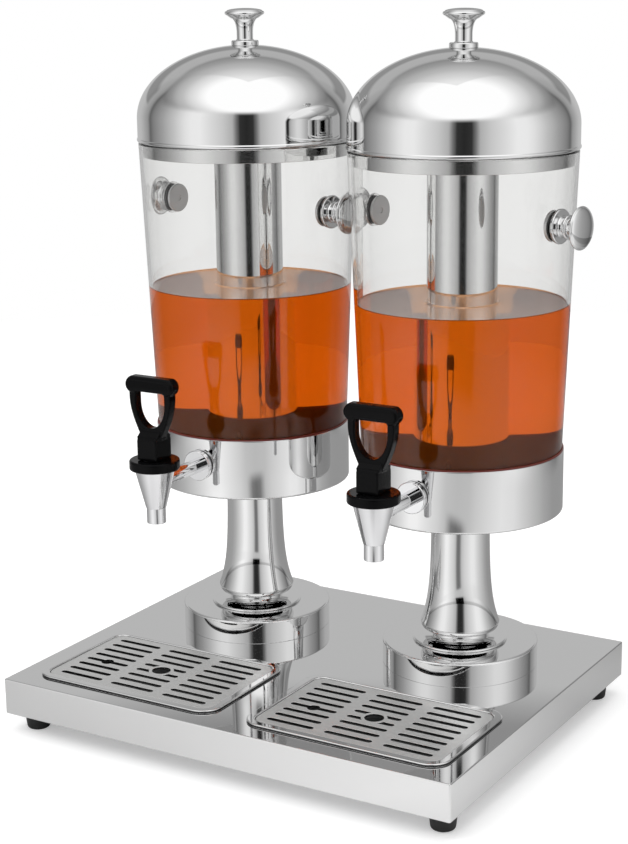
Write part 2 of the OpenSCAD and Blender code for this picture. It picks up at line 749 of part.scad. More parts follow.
// The lid's drawn dome with the bead rolled round its rim
module lid_dome(side) {
    color("silver") at_unit(side) rotate_extrude() {
        polygon(concat(
            [[dome_r, bead_z]],
            arc(0, dome_spring_z, dome_r, dome_rise, 0, dome_seat_angle, 2 * steps),
            [[lid_screw_r + play, dome_seat_z], [lid_screw_r + play, dome_seat_z - dome_sheet],
             [dome_seat_r, dome_seat_z - dome_sheet]],
            arc(0, dome_spring_z, dome_r - dome_sheet, dome_rise - dome_sheet,
                dome_in_angle * (1 - 1 / steps), 0, 2 * steps),
            [[dome_r - dome_sheet, bead_z]]));
        translate([bead_at, bead_z]) circle(r = bead_r);
    }
}

// The skirt that centres the lid in the tank's mouth
module lid_skirt(side) {
    color("silver") at_unit(side) rotate_extrude() polygon([
        [skirt_r - dome_sheet, lid_z - skirt_h], [skirt_r, lid_z - skirt_h],
        [skirt_r, skirt_flange_z], [skirt_flange_r, skirt_flange_z],
        [skirt_flange_r, skirt_flange_z + dome_sheet],
        [skirt_r - dome_sheet, skirt_flange_z + dome_sheet]]);
}

// The knob on top of the lid
module lid_knob(side) {
    foot_h1 = 0.14 * lid_knob_h;
    chamfer = 0.03 * lid_knob_h;
    cove = 0.05 * lid_knob_h;
    waist_z = 0.34 * lid_knob_h;
    flare_z = 0.73 * lid_knob_h;
    flare_r = 0.69 * lid_knob_r;
    edge = 0.05 * lid_knob_h;
    edge_z = 0.87 * lid_knob_h;
    color("silver") at_unit(side) translate([0, 0, dome_seat_z]) difference() {
        rotate_extrude() polygon(concat(
            [[0, 0], [lid_knob_foot_r, 0], [lid_knob_foot_r, foot_h1 - chamfer],
             [lid_knob_foot_r - chamfer, foot_h1]],
            arc(lid_knob_waist_r + cove, foot_h1 + cove, cove, cove, 270, 180, steps / 4),
            arc(flare_r, waist_z, flare_r - lid_knob_waist_r, flare_z - waist_z, 180, 90),
            arc(lid_knob_r - edge, edge_z, edge, edge, -90, 90, steps / 2),
            arc(0, edge_z + edge, lid_knob_r - edge, lid_knob_h - edge_z - edge, 0, 90)));
        translate([0, 0, -over]) cylinder(r = lid_screw_r + stem_play, h = lid_screw_in + 2 * over);
    }
}

// The screw and washer that hold the knob from inside the lid
module lid_screw(side) {
    washer_z = dome_seat_z - dome_sheet - seal_t;
    color("dimgray") at_unit(side) {
        translate([0, 0, washer_z]) ring(lid_screw_r + play, lid_washer_r, seal_t);
        translate([0, 0, washer_z - lid_screw_head_h]) cylinder(r = lid_screw_head_r, h = lid_screw_head_h);
        translate([0, 0, washer_z - lid_screw_head_h / 2])
            cylinder(r = lid_screw_r, h = dome_seat_z + lid_screw_in - washer_z + lid_screw_head_h / 2);
    }
}

// The tap's hollow cone, spout and shank
module tap_body(side) {
    spout_z = cone_bottom_z - spout_h;
    cavity_share = (cavity_z - cone_bottom_z) / cone_h;
    cavity_r = cone_bottom_r + (cone_top_r - cone_bottom_r) * cavity_share - tap_wall;
    color("silver") at_unit(side) difference() {
        union() {
            at_tap() translate([0, 0, cone_bottom_z])
                cylinder(r1 = cone_bottom_r, r2 = cone_top_r, h = cone_h);
            at_tap() translate([0, 0, spout_z]) cylinder(r = spout_r, h = spout_h + tap_wall);
            at_shank() translate([0, 0, nut_front]) cylinder(r = shank_r, h = tap_at - nut_front);
            at_shank() translate([0, 0, shank_end]) cylinder(r = shank_thread_r, h = tap_at - shank_end);
        }
        at_tap() rotate_extrude() polygon([
            [0, cavity_z], [cavity_r, cavity_z], [cone_top_r - tap_wall, cone_top_z],
            [cone_top_r - tap_wall, cone_top_z + over], [0, cone_top_z + over]]);
        at_tap() translate([0, 0, spout_z - over])
            cylinder(r = spout_bore_r, h = cavity_z - spout_z + 2 * over);
        at_shank() translate([0, 0, shank_end - over])
            cylinder(r = shank_bore_r, h = tap_at - shank_end + over);
    }
}

// The round flange nut in front of the collar and the lock nut inside the tank
module tap_nuts(side) {
    edge = 0.2 * flange_nut_t;
    color("silver") at_unit(side) at_shank() {
        translate([0, 0, nut_back]) rotate_extrude() polygon(concat(
            [[shank_thread_r + play, 0], [flange_nut_r, 0]],
            arc(flange_nut_r - edge, flange_nut_t - edge, edge, edge, 0, 90, steps / 4),
            [[shank_thread_r + play, flange_nut_t]]));
        translate([0, 0, lock_nut_back]) difference() {
            cylinder(r = lock_nut_r, h = lock_nut_t, $fn = 6);
            translate([0, 0, -over]) cylinder(r = shank_thread_r + play, h = lock_nut_t + 2 * over);
        }
    }
}

// Rubber washers on the shank, outside the collar and inside the tank
module tap_washers() {
    color("dimgray") for (side = sides) at_unit(side) {
        difference() {
            at_shank() translate([0, 0, nut_back - 2 * collar_sheet])
                ring(shank_thread_r + play, tap_seal_r, 2 * collar_sheet);
            translate([0, 0, collar_z]) cylinder(r = collar_r + hug_gap, h = collar_h);
        }
        intersection() {
            at_shank() translate([0, 0, lock_nut_front])
                ring(shank_thread_r + play, tap_seal_r, 3 * seal_t);
            tank_space(-tank_wall - hug_gap);
        }
    }
}

// The black ring that closes the top of the tap and guides the valve stem
module tap_bonnet(side) {
    edge = 0.2 * bonnet_t;
    color("black") at_unit(side) at_tap() rotate_extrude() polygon(concat(
        [[valve_r + stem_play, cone_top_z - plug_h], [plug_r, cone_top_z - plug_h], [plug_r, cone_top_z]],
        arc(bonnet_r - edge, cone_top_z + edge, edge, edge, -90, 0, steps / 4),
        arc(bonnet_r - edge, bonnet_z - edge, edge, edge, 0, 90, steps / 4),
        [[valve_r + stem_play, bonnet_z]]));
}

// Half the width of the finger loop at a height above the block
function loop_half(h) = (neck_w + (loop_w - neck_w) * sin(90 * min(h / shoulder, 1))) / 2;

// Outline of the finger loop, which widens upwards from the block to the bar
module loop_outline() {
    side_points = [for (i = [0 : steps]) let (h = shoulder * i / steps) [loop_half(h), h]];
    polygon(concat(
        [[-loop_half(0), -over], [loop_half(0), -over]],
        side_points,
        [[loop_half(shoulder), loop_h + bar_h / 2], [-loop_half(shoulder), loop_h + bar_h / 2]],
        flip([for (point = side_points) [-point[0], point[1]]])));
}

// Outline of the hole for the fingers, rounded below
module hole_outline() {
    half = loop_w / 2 - arm_t;
    polygon(concat(
        [[-half, loop_h], [half, loop_h]],
        arc(0, hole_mid, half, hole_mid - hole_low, 0, -180, 2 * steps)));
}

// The black lever: a forked block under a finger loop with a grip bar
module tap_lever(side) {
    top_z = lever_z + block_h;
    color("black") at_unit(side) at_tap() difference() {
        union() {
            translate([0, 0, lever_z]) linear_extrude(block_h)
                round_rect(block_w, block_d, block_corner_r);
            translate([0, arm_d / 2, top_z]) rotate([90, 0, 0]) linear_extrude(arm_d) difference() {
                loop_outline();
                hole_outline();
            }
            translate([0, 0, top_z + loop_h + bar_h / 2]) intersection() {
                translate([-bar_w / 2, 0, 0]) rotate([90, 0, 90]) linear_extrude(bar_w)
                    round_rect(bar_d, bar_h, bar_round);
                translate([0, bar_d / 2, 0]) rotate([90, 0, 0]) linear_extrude(bar_d)
                    round_rect(bar_w, bar_h, bar_round);
                translate([0, 0, -bar_h / 2]) linear_extrude(bar_h) round_rect(bar_w, bar_d, bar_round);
            }
        }
        translate([-block_gap / 2, -gap_front, lever_z - over])
            cube([block_gap, gap_front + block_d, gap_h + over]);
        translate([-block_w, 0, lever_z + pin_up]) rotate([0, 90, 0])
            cylinder(r = pin_r + stem_play, h = 2 * block_w);
    }
}

module lever_pin(side) {
    color("silver") at_unit(side) at_tap() translate([-pin_len / 2, 0, lever_z + pin_up])
        rotate([0, 90, 0]) cylinder(r = pin_r, h = pin_len);
}

// The valve stem with its slotted head, which the lever's pin lifts
module valve_stem(side) {
    rod_z = cup_z + cup_h - cup_bite;
    color("silver") at_unit(side) at_tap() difference() {
        union() {
            translate([0, 0, rod_z]) cylinder(r = valve_r, h = head_z + pin_r / 2 - rod_z);
            translate([-head_w / 2, -head_front, head_z])
                cube([head_w, head_front + head_back, head_top_z - head_z]);
        }
        translate([-head_w, 0, lever_z + pin_up]) rotate([0, 90, 0])
            cylinder(r = slot_r, h = 2 * head_w);
        translate([-head_w, -pin_shift, lever_z + pin_up]) rotate([0, 90, 0])
            cylinder(r = slot_r, h = 2 * head_w);
        translate([-head_w, -pin_shift, lever_z + pin_up - slot_r])
            cube([2 * head_w, pin_shift, 2 * slot_r]);
    }
}

// The silicone cup on the valve stem's lower end, which shuts the spout
module seat_cup(side) {
    color("white") at_unit(side) at_tap() translate([0, 0, cup_z]) difference() {
        cylinder(r1 = cup_foot_share * cup_r, r2 = cup_r, h = cup_h);
        translate([0, 0, cup_h - cup_bite]) cylinder(r = valve_r + stem_play, h = cup_bite + over);
    }
}

// A drip tray with a raised rim, a ledge for the grille and a well that hangs in the base
module drip_tray(side) {
    color("silver") at_tray(side) difference() {
        union() {
            translate([0, 0, seat_gap]) linear_extrude(rim_h) round_rect(tray_w, tray_d, tray_r);
            translate([0, 0, ledge_top - tray_sheet])
                linear_extrude(seat_gap + rim_h / 2 + tray_sheet - ledge_top)
                round_rect(shell_w, shell_d, shell_r);
            translate([0, 0, -tray_deep]) linear_extrude(tray_deep + seat_gap)
                round_rect(inner_w + 2 * tray_sheet, inner_d + 2 * tray_sheet, inner_r + tray_sheet);
        }
        translate([0, 0, ledge_top]) linear_extrude(tray_deep) round_rect(well_w, well_d, well_r);
        translate([0, 0, tray_sheet - tray_deep]) linear_extrude(2 * tray_deep)
            round_rect(inner_w, inner_d, inner_r);
    }
}

// Middles of a row of equal steps
function spaced(count, pitch) = [for (i = [0 : count - 1]) (i - (count - 1) / 2) * pitch];

// A slot with round ends
module slot_cut(h) {
    run = (slot_len - slot_w) / 2;
    translate([-run, -slot_w / 2, 0]) cube([2 * run, slot_w, h]);
    for (x = [-run, run]) translate([x, 0, 0]) cylinder(r = slot_w / 2, h = h);
}

// The slotted grille that lies in the tray
module grille(side) {
    low_z = grille_top - grille_t;
    cut_h = grille_t + 2 * over;
    rows = spaced(slot_rows, slot_pitch_y);
    columns = spaced(slot_columns, slot_pitch_x);
    color("lightgray") at_tray(side) translate([0, 0, low_z]) difference() {
        linear_extrude(grille_t)
            round_rect(well_w - 2 * cutout_play, well_d - 2 * cutout_play, well_r - cutout_play);
        translate([0, 0, -over]) difference() {
            for (x = columns, y = rows) translate([x, y, 0]) slot_cut(cut_h);
            translate([0, 0, -over]) cylinder(r = finger_hole_r + hole_bridge, h = cut_h + 2 * over);
        }
        translate([0, 0, -over]) cylinder(r = finger_hole_r, h = cut_h);
        translate([columns[0], -slot_pitch_y / 2, -over]) cylinder(r = drain_hole_r, h = cut_h);
    }
}

base_pan();
base_cover();
feet();
foot_screws();
pedestal_bolts();
stem_screws();
tube_seals();
tube_nuts();
knob_bolts();
knob_seals();
tap_washers();
pedestal_disc(left);  // left_pedestal_disc
pedestal_disc(right);  // right_pedestal_disc
stem_foot(left);  // left_stem_foot
stem_foot(right);  // right_stem_foot
stem(left);  // left_stem
stem(right);  // right_stem
collar(left);  // left_collar
collar(right);  // right_collar
tank_seals(left);  // left_tank_seals
tank_seals(right);  // right_tank_seals
tank(left);  // left_tank
tank(right);  // right_tank
ice_tube(left);  // left_ice_tube
ice_tube(right);  // right_ice_tube
juice(left);  // left_juice
juice(right);  // right_juice
side_knobs(left);  // left_side_knobs
side_knobs(right);  // right_side_knobs
lid_dome(left);  // left_lid_dome
lid_dome(right);  // right_lid_dome
lid_skirt(left);  // left_lid_skirt
lid_skirt(right);  // right_lid_skirt
lid_knob(left);  // left_lid_knob
lid_knob(right);  // right_lid_knob
lid_screw(left);  // left_lid_screw
lid_screw(right);  // right_lid_screw
tap_body(left);  // left_tap_body
tap_body(right);  // right_tap_body
tap_nuts(left);  // left_tap_nuts
tap_nuts(right);  // right_tap_nuts
tap_bonnet(left);  // left_tap_bonnet
tap_bonnet(right);  // right_tap_bonnet
tap_lever(left);  // left_tap_lever
tap_lever(right);  // right_tap_lever
lever_pin(left);  // left_lever_pin
lever_pin(right);  // right_lever_pin
valve_stem(left);  // left_valve_stem
valve_stem(right);  // right_valve_stem
seat_cup(left);  // left_seat_cup
seat_cup(right);  // right_seat_cup
drip_tray(left);  // left_drip_tray
drip_tray(right);  // right_drip_tray
grille(left);  // left_grille
grille(right);  // right_grille
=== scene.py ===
import json
import math

import bmesh
import bpy
from mathutils import Matrix, Vector
from mathutils.geometry import tessellate_polygon


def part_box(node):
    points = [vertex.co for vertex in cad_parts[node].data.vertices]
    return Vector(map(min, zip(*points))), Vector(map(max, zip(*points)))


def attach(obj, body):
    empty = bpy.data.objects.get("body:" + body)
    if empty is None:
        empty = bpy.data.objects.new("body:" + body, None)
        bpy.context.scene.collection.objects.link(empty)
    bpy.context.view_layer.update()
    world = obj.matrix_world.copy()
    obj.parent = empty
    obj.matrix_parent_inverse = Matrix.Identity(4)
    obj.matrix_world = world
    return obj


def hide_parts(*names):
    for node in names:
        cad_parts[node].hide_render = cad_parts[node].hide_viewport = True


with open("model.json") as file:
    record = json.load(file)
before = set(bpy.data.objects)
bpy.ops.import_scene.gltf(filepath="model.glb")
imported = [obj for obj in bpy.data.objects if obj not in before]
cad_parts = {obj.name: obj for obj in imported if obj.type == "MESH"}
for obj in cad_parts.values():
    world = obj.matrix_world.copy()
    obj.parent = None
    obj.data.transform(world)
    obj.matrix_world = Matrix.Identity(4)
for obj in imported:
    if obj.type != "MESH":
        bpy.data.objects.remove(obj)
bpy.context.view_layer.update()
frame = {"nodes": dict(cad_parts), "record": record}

MM = 0.001
SIDES = (("left", -1), ("right", 1))

# ---------------------------------------------------------------- outlines, in millimetres


def arc(cx, cy, rx, ry, start, end, count):
    """Points along an elliptical arc, angles in degrees."""
    out = []
    for i in range(count + 1):
        a = math.radians(start + (end - start) * i / count)
        out.append((cx + rx * math.cos(a), cy + ry * math.sin(a)))
    return out


def fillet(points, closed=True, steps=6, guard=0.35):
    """A fine outline from corners. A corner (x, y, radius) is rounded, a point (x, y) stays as it is.
    A guard point on each straight side of a rounded corner keeps the shading of the side flat."""
    n = len(points)
    out = []
    for i, p in enumerate(points):
        if len(p) == 2 or p[2] <= 0 or (not closed and i in (0, n - 1)):
            out.append((p[0], p[1]))
            continue
        c = Vector(p[:2])
        a = Vector(points[(i - 1) % n][:2]) - c
        b = Vector(points[(i + 1) % n][:2]) - c
        la, lb = a.length, b.length
        a.normalize()
        b.normalize()
        half = math.acos(max(-1, min(1, a.dot(b)))) / 2
        if half > math.radians(89) or half < 1e-3:
            out.append((p[0], p[1]))
            continue
        cut = min(p[2] / math.tan(half), 0.49 * la, 0.49 * lb)
        r = cut * math.tan(half)
        centre = c + (a + b).normalized() * (r / math.sin(half))
        first, last = c + a * cut, c + b * cut
        if la - cut > 2.5 * guard:
            out.append(tuple(c + a * (cut + guard)))
        v0, v1 = first - centre, last - centre
        turn = math.atan2(v0.x * v1.y - v0.y * v1.x, v0.dot(v1))
        for k in range(steps + 1):
            t = turn * k / steps
            out.append((centre.x + v0.x * math.cos(t) - v0.y * math.sin(t),
                        centre.y + v0.x * math.sin(t) + v0.y * math.cos(t)))
        if lb - cut > 2.5 * guard:
            out.append(tuple(c + b * (cut + guard)))
    return out


def grow(points, d):
    """A closed counter-clockwise outline moved outwards by d along the normals of its corners."""
    n = len(points)
    out = []
    for i in range(n):
        p = Vector(points[i])
        a = (p - Vector(points[i - 1])).normalized()
        b = (Vector(points[(i + 1) % n]) - p).normalized()
        na, nb = Vector((a.y, -a.x)), Vector((b.y, -b.x))
        m = na + nb
        m /= max(m.length_squared / 2, 0.2)
        out.append((p.x + m.x * d, p.y + m.y * d))
    return out


def round_rect(w, d, r, inset=0, steps=10, guard=0.6):
    """A rectangle with round corners, counter-clockwise, always with the same number of points."""
    r2 = max(r - inset, 0.02)
    hx, hy = w / 2 - inset - r2, d / 2 - inset - r2
    out = []
    for cx, cy, a0 in ((hx, hy, 0), (-hx, hy, 90), (-hx, -hy, 180), (hx, -hy, 270)):
        t = math.radians(a0)
        out.append((cx + r2 * math.cos(t) + guard * math.sin(t), cy + r2 * math.sin(t) - guard * math.cos(t)))
        out += arc(cx, cy, r2, r2, a0, a0 + 90, steps)
        t = math.radians(a0 + 90)
        out.append((cx + r2 * math.cos(t) - guard * math.sin(t), cy + r2 * math.sin(t) + guard * math.cos(t)))
    return out


# ---------------------------------------------------------------- meshes, built in millimetres


def finish_mesh(bm, name, matrix, sharp=38):
    bmesh.ops.remove_doubles(bm, verts=bm.verts, dist=1e-5)
    bmesh.ops.recalc_face_normals(bm, faces=bm.faces)
    limit = math.radians(sharp)
    for f in bm.faces:
        f.smooth = True
    for e in bm.edges:
        if len(e.link_faces) == 2 and e.calc_face_angle(0) > limit:
            e.smooth = False
    bm.transform(Matrix.Scale(MM, 4))
    me = bpy.data.meshes.new(name)
    bm.to_mesh(me)
    bm.free()
    ob = bpy.data.objects.new(name, me)
    bpy.context.scene.collection.objects.link(ob)
    ob.matrix_world = matrix
    return ob


def add_revolved(bm, loop, seg, place=None):
    """Adds a closed outline of (radius, height) turned about the Z axis."""
    place = place or Matrix.Identity(4)
    rings = []
    for r, z in loop:
        if r < 1e-6:
            rings.append([bm.verts.new(place @ Vector((0, 0, z)))])
        else:
            rings.append([bm.verts.new(place @ Vector((r * math.cos(2 * math.pi * i / seg),
                                                       r * math.sin(2 * math.pi * i / seg), z)))
                          for i in range(seg)])
    for k in range(len(rings)):
        a, b = rings[k], rings[(k + 1) % len(rings)]
        if len(a) == 1 and len(b) == 1:
            continue
        for i in range(seg):
            j = (i + 1) % seg
            if len(a) == 1:
                bm.faces.new((a[0], b[i], b[j]))
            elif len(b) == 1:
                bm.faces.new((a[i], b[0], a[j]))
            else:
                bm.faces.new((a[i], b[i], b[j], a[j]))


def revolved(name, loops, matrix, seg=160, places=None):
    bm = bmesh.new()
    for k, loop in enumerate(loops):
        add_revolved(bm, loop, seg, places[k] if places else None)
    return finish_mesh(bm, name, matrix)


def ring_of(bm, points, z):
    return [bm.verts.new((x, y, z)) for x, y in points]


def join_rings(bm, a, b):
    n = len(a)
    for i in range(n):
        j = (i + 1) % n
        bm.faces.new((a[i], a[j], b[j], b[i]))


def fill_rings(bm, rings):
    """Fills a flat area between one outer ring and any holes."""
    verts = [v for ring in rings for v in ring]
    for tri in tessellate_polygon([[v.co for v in ring] for ring in rings]):
        bm.faces.new([verts[i] for i in tri])


# ---------------------------------------------------------------- materials


def new_material(name):
    mat = bpy.data.materials.new(name)
    mat.use_nodes = True
    nt = mat.node_tree
    nt.nodes.clear()
    out = nt.nodes.new("ShaderNodeOutputMaterial")
    bsdf = nt.nodes.new("ShaderNodeBsdfPrincipled")
    nt.links.new(bsdf.outputs[0], out.inputs["Surface"])
    return mat, nt, bsdf, out


def noise(nt, scale, detail=2, stretch=(1, 1, 1)):
    """Smooth noise in the object's own space, in cycles a metre."""
    tc = nt.nodes.new("ShaderNodeTexCoord")
    mp = nt.nodes.new("ShaderNodeMapping")
    mp.inputs["Scale"].default_value = stretch
    tex = nt.nodes.new("ShaderNodeTexNoise")
    tex.inputs["Scale"].default_value = scale
    tex.inputs["Detail"].default_value = detail
    nt.links.new(tc.outputs["Object"], mp.inputs["Vector"])
    nt.links.new(mp.outputs["Vector"], tex.inputs["Vector"])
    return tex.outputs["Fac"]


def remap(nt, value, low, high, from_low=0.35, from_high=0.65):
    mr = nt.nodes.new("ShaderNodeMapRange")
    mr.inputs["From Min"].default_value = from_low
    mr.inputs["From Max"].default_value = from_high
    mr.inputs["To Min"].default_value = low
    mr.inputs["To Max"].default_value = high
    nt.links.new(value, mr.inputs["Value"])
    return mr.outputs["Result"]


def metal(name, colour, rough, spread, wave=0.0, wave_scale=9, grain=None):
    mat, nt, bsdf, _ = new_material(name)
    bsdf.inputs["Base Color"].default_value = (*colour, 1)
    bsdf.inputs["Metallic"].default_value = 1
    source = noise(nt, *(grain or (30, 3)))
    nt.links.new(remap(nt, source, rough, rough + spread), bsdf.inputs["Roughness"])
    if wave:
        bump = nt.nodes.new("ShaderNodeBump")
        bump.inputs["Strength"].default_value = 1
        bump.inputs["Distance"].default_value = wave
        nt.links.new(noise(nt, wave_scale, 1), bump.inputs["Height"])
        nt.links.new(bump.outputs["Normal"], bsdf.inputs["Normal"])
    return mat


def plastic(name, colour, rough, spread, spec=0.5):
    mat, nt, bsdf, _ = new_material(name)
    bsdf.inputs["Base Color"].default_value = (*colour, 1)
    bsdf.inputs["Specular IOR Level"].default_value = spec
    nt.links.new(remap(nt, noise(nt, 60, 2), rough, rough + spread), bsdf.inputs["Roughness"])
    return mat


def clear(name, colour, ior, shade, share=1.0, absorb=None):
    """Glass-like, and clear to the lamps: their light passes straight through, tinted by shade."""
    mat, nt, bsdf, out = new_material(name)
    bsdf.inputs["Base Color"].default_value = (*colour, 1)
    bsdf.inputs["Transmission Weight"].default_value = share
    bsdf.inputs["IOR"].default_value = ior
    sheen = 0.5  # what is left of the surface's mirror part
    bsdf.inputs["Specular Tint"].default_value = (sheen, sheen, sheen, 1)
    nt.links.new(remap(nt, noise(nt, 20, 2), 0, 0.004), bsdf.inputs["Roughness"])
    lp = nt.nodes.new("ShaderNodeLightPath")
    through = nt.nodes.new("ShaderNodeBsdfTransparent")
    through.inputs["Color"].default_value = (*shade, 1)
    mix = nt.nodes.new("ShaderNodeMixShader")
    nt.links.new(lp.outputs["Is Shadow Ray"], mix.inputs[0])
    nt.links.new(bsdf.outputs[0], mix.inputs[1])
    nt.links.new(through.outputs[0], mix.inputs[2])
    nt.links.new(mix.outputs[0], out.inputs["Surface"])
    if absorb:
        vol = nt.nodes.new("ShaderNodeVolumeAbsorption")
        vol.inputs["Color"].default_value = (*absorb[0], 1)
        vol.inputs["Density"].default_value = absorb[1]
        nt.links.new(vol.outputs[0], out.inputs["Volume"])
    return mat


MATS = {
    "polished_steel": metal("polished_steel_look", (0.80, 0.80, 0.80), 0.02, 0.025, 0.00002, 11),
    "plain_steel": metal("plain_steel_look", (0.55, 0.55, 0.56), 0.25, 0.12),
    "satin_steel": metal("satin_steel_look", (0.88, 0.88, 0.87), 0.30, 0.08, grain=(140, 3, (0.08, 1, 1))),
    "chromed_brass": metal("chromed_brass_look", (0.80, 0.80, 0.81), 0.02, 0.03),
    "black_plastic": plastic("black_plastic_look", (0.0025, 0.0025, 0.0028), 0.06, 0.05, 0.08),
    "foot_rubber": plastic("foot_rubber_look", (0.02, 0.02, 0.02), 0.45, 0.15, 0.35),
    "dark_rubber": plastic("dark_rubber_look", (0.10, 0.10, 0.10), 0.5, 0.15, 0.3),
    "red_rubber": plastic("red_rubber_look", (0.13, 0.018, 0.012), 0.3, 0.15, 0.4),
    "silicone": plastic("silicone_look", (0.75, 0.75, 0.72), 0.4, 0.1, 0.4),
    "clear_plastic": clear("clear_plastic_look", (0.90, 0.90, 0.895), 1.49, (0.96, 0.96, 0.96)),
    "juice": clear("juice_look", (0.93, 0.24, 0.02), 1.34, (0.95, 0.6, 0.35), 0.88,
                   absorb=((0.92, 0.70, 0.05), 14)),
}
# lighter in colour than the other steels, as painted light on the disc heads inside the tanks; its roughness
# is the metal's own
LIT_BOLT_HEAD = metal("bolt_head_painted_light_look", (0.95, 0.95, 0.95), 0.45, 0.05)
# the juice's top: a pale pinkish-grey colour that is painted reflection of the room, over the liquid's own
# mirror part
PAINTED_JUICE_SHEEN = clear("juice_top_painted_sheen_look", (0.90, 0.66, 0.54), 1.34, (0.95, 0.7, 0.5), 0.45)
# rougher than the polished steel, and darker in colour as painted shade of the tray's deep well
PAINTED_WELL_SHADE = metal("tray_well_painted_shade_look", (0.28, 0.28, 0.28), 0.35, 0.1)
# near black: painted shadow on the rim's upright edges and on the walls of the grille's slots
PAINTED_GAP_SHADOW = metal("painted_gap_shadow_look", (0.05, 0.05, 0.05), 0.35, 0.1)
SLOTS = {row["node"]: row["material_slot"] for row in frame["record"]["subparts"]}
for node, ob in frame["nodes"].items():
    ob.data.materials.clear()
    ob.data.materials.append(MATS[SLOTS[node]])


def dress(ob, node, body, more=(), which=None):
    """Gives a piece its finish from the CAD node's slot and its body, and hides the CAD node that it stands
    for.
    which(face) is 0 for that finish, or the number of one of the other materials, some of which carry painted
    light, shade, shadow or reflection."""
    slot = SLOTS[node]
    ob.data.materials.append(MATS[slot])
    for finish in more:
        ob.data.materials.append(finish)
    if which:
        for face in ob.data.polygons:
            face.material_index = int(which(face))
    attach(ob, body)
    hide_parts(node)
    return ob


# ---------------------------------------------------------------- places in the frame

pan_lo, pan_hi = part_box("base_pan")
plate_z, foot_z = pan_hi.z, pan_lo.z
plate_w = (pan_hi.x - pan_lo.x) / MM
plate_d = (pan_hi.y - pan_lo.y) / MM


def middle(node):
    lo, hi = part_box(node)
    return (lo + hi) / 2


def unit(side):
    c = middle(side + "_collar")
    return Matrix.Translation((c.x, c.y, plate_z))


TANK_Z, TANK_FLOOR, TANK_TOP = 163, 167, 497
TUBE_R = 33
TANK_R0, TANK_R1, WALL = 93.4, 106.5, 3
TRAY_W, TRAY_D, TRAY_R = 205, 136, 19.5


def tank_r(z):
    return TANK_R0 + (TANK_R1 - TANK_R0) * (z - TANK_Z) / (TANK_TOP - TANK_Z)


# ---------------------------------------------------------------- base box, feet


def build_base():
    bm = bmesh.new()
    h = (plate_z - foot_z) / MM
    sheet, flange, cover, corner = 1.5, 40, 1.2, 1.8
    strip = 8  # width of the strip of top plate that runs along the sides
    edge = 6.4  # from the tray's outline in to the opening
    outer = fillet([(strip, 0), (0, 0, 1.0), (0, -h, 0.8), (sheet, -h), (sheet, -h + cover),
                    (flange, -h + cover), (flange, -h + cover + sheet), (sheet, -h + cover + sheet),
                    (sheet, -sheet, 0.6), (strip, -sheet)], closed=False)
    rings = [ring_of(bm, round_rect(plate_w, plate_d, corner, inset), z) for inset, z in outer]
    for a, b in zip(rings, rings[1:]):
        join_rings(bm, a, b)
    holes_top, holes_low = [], []
    for side, _ in SIDES:
        c = middle(side + "_drip_tray") / MM
        opening = round_rect(TRAY_W - 2 * edge, TRAY_D - 2 * edge, TRAY_R - edge)
        pts = [(c.x + x, c.y + y) for x, y in opening]
        holes_top.append(ring_of(bm, pts, 0))
        holes_low.append(ring_of(bm, pts, -sheet))
        join_rings(bm, holes_top[-1], holes_low[-1])
    fill_rings(bm, [rings[0]] + holes_top)
    fill_rings(bm, [rings[-1]] + holes_low)
    return finish_mesh(bm, "dress_base_pan", Matrix.Translation((0, 0, plate_z)))


def build_feet():
    bm = bmesh.new()
    lo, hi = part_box("feet")
    low_r, high_r, h, recess_r, screw_r = 10.9, 13.2, 19, 4.45, 2.7
    loop = fillet([(recess_r, 0), (low_r, 0, 3), (high_r, h, 0.5), (screw_r, h), (screw_r, h / 2),
                   (recess_r, h / 2)])
    for x in (lo.x, hi.x):
        for y in (lo.y, hi.y):
            cx = x / MM + math.copysign(high_r, -x)
            cy = y / MM + math.copysign(high_r, -y)
            add_revolved(bm, loop, 48, Matrix.Translation((cx, cy, 0)))
    return finish_mesh(bm, "dress_feet", Matrix.Identity(4))


dress(build_base(), "base_pan", "base")
dress(build_feet(), "feet", "base")

# ---------------------------------------------------------------- pedestals, collars, tanks


DISC_TOP, STEM_BOLT_R = 23, 6.2


def build_disc(side):
    r, top, sheet, bore = 75.5, DISC_TOP, 2, STEM_BOLT_R
    loop = fillet([(bore, top), (r, top, 1.8), (r, 0, 0.3), (r - sheet, 0), (r - sheet, top - sheet, 0.8),
                   (bore, top - sheet)])
    return revolved(f"dress_{side}_pedestal_disc", [loop], unit(side))


def build_stem_foot(side):
    flange, edge, cove, neck, top = 46, 1.1, 9, 26.5, 50
    face = DISC_TOP + 2 * edge
    loop = [(STEM_BOLT_R, DISC_TOP)] + arc(flange - edge, DISC_TOP + edge, edge, edge, -90, 90, 10)
    loop += [(flange - 2.5, face), (neck + cove + 1, face)]
    loop += arc(neck + cove, face + cove, cove, cove, 270, 180, 14)
    loop += [(neck, face + cove + 1), (neck, top), (STEM_BOLT_R, top)]
    return revolved(f"dress_{side}_stem_foot", [loop], unit(side))


STEM_FLARE_Z, COLLAR_Z = 41, 157


def stem_r(z):
    top, flare, fade = 28, 38.3, 26
    end = math.exp(-(COLLAR_Z - STEM_FLARE_Z) / fade)
    return top + (flare - top) * (math.exp(-(z - STEM_FLARE_Z) / fade) - end) / (1 - end)


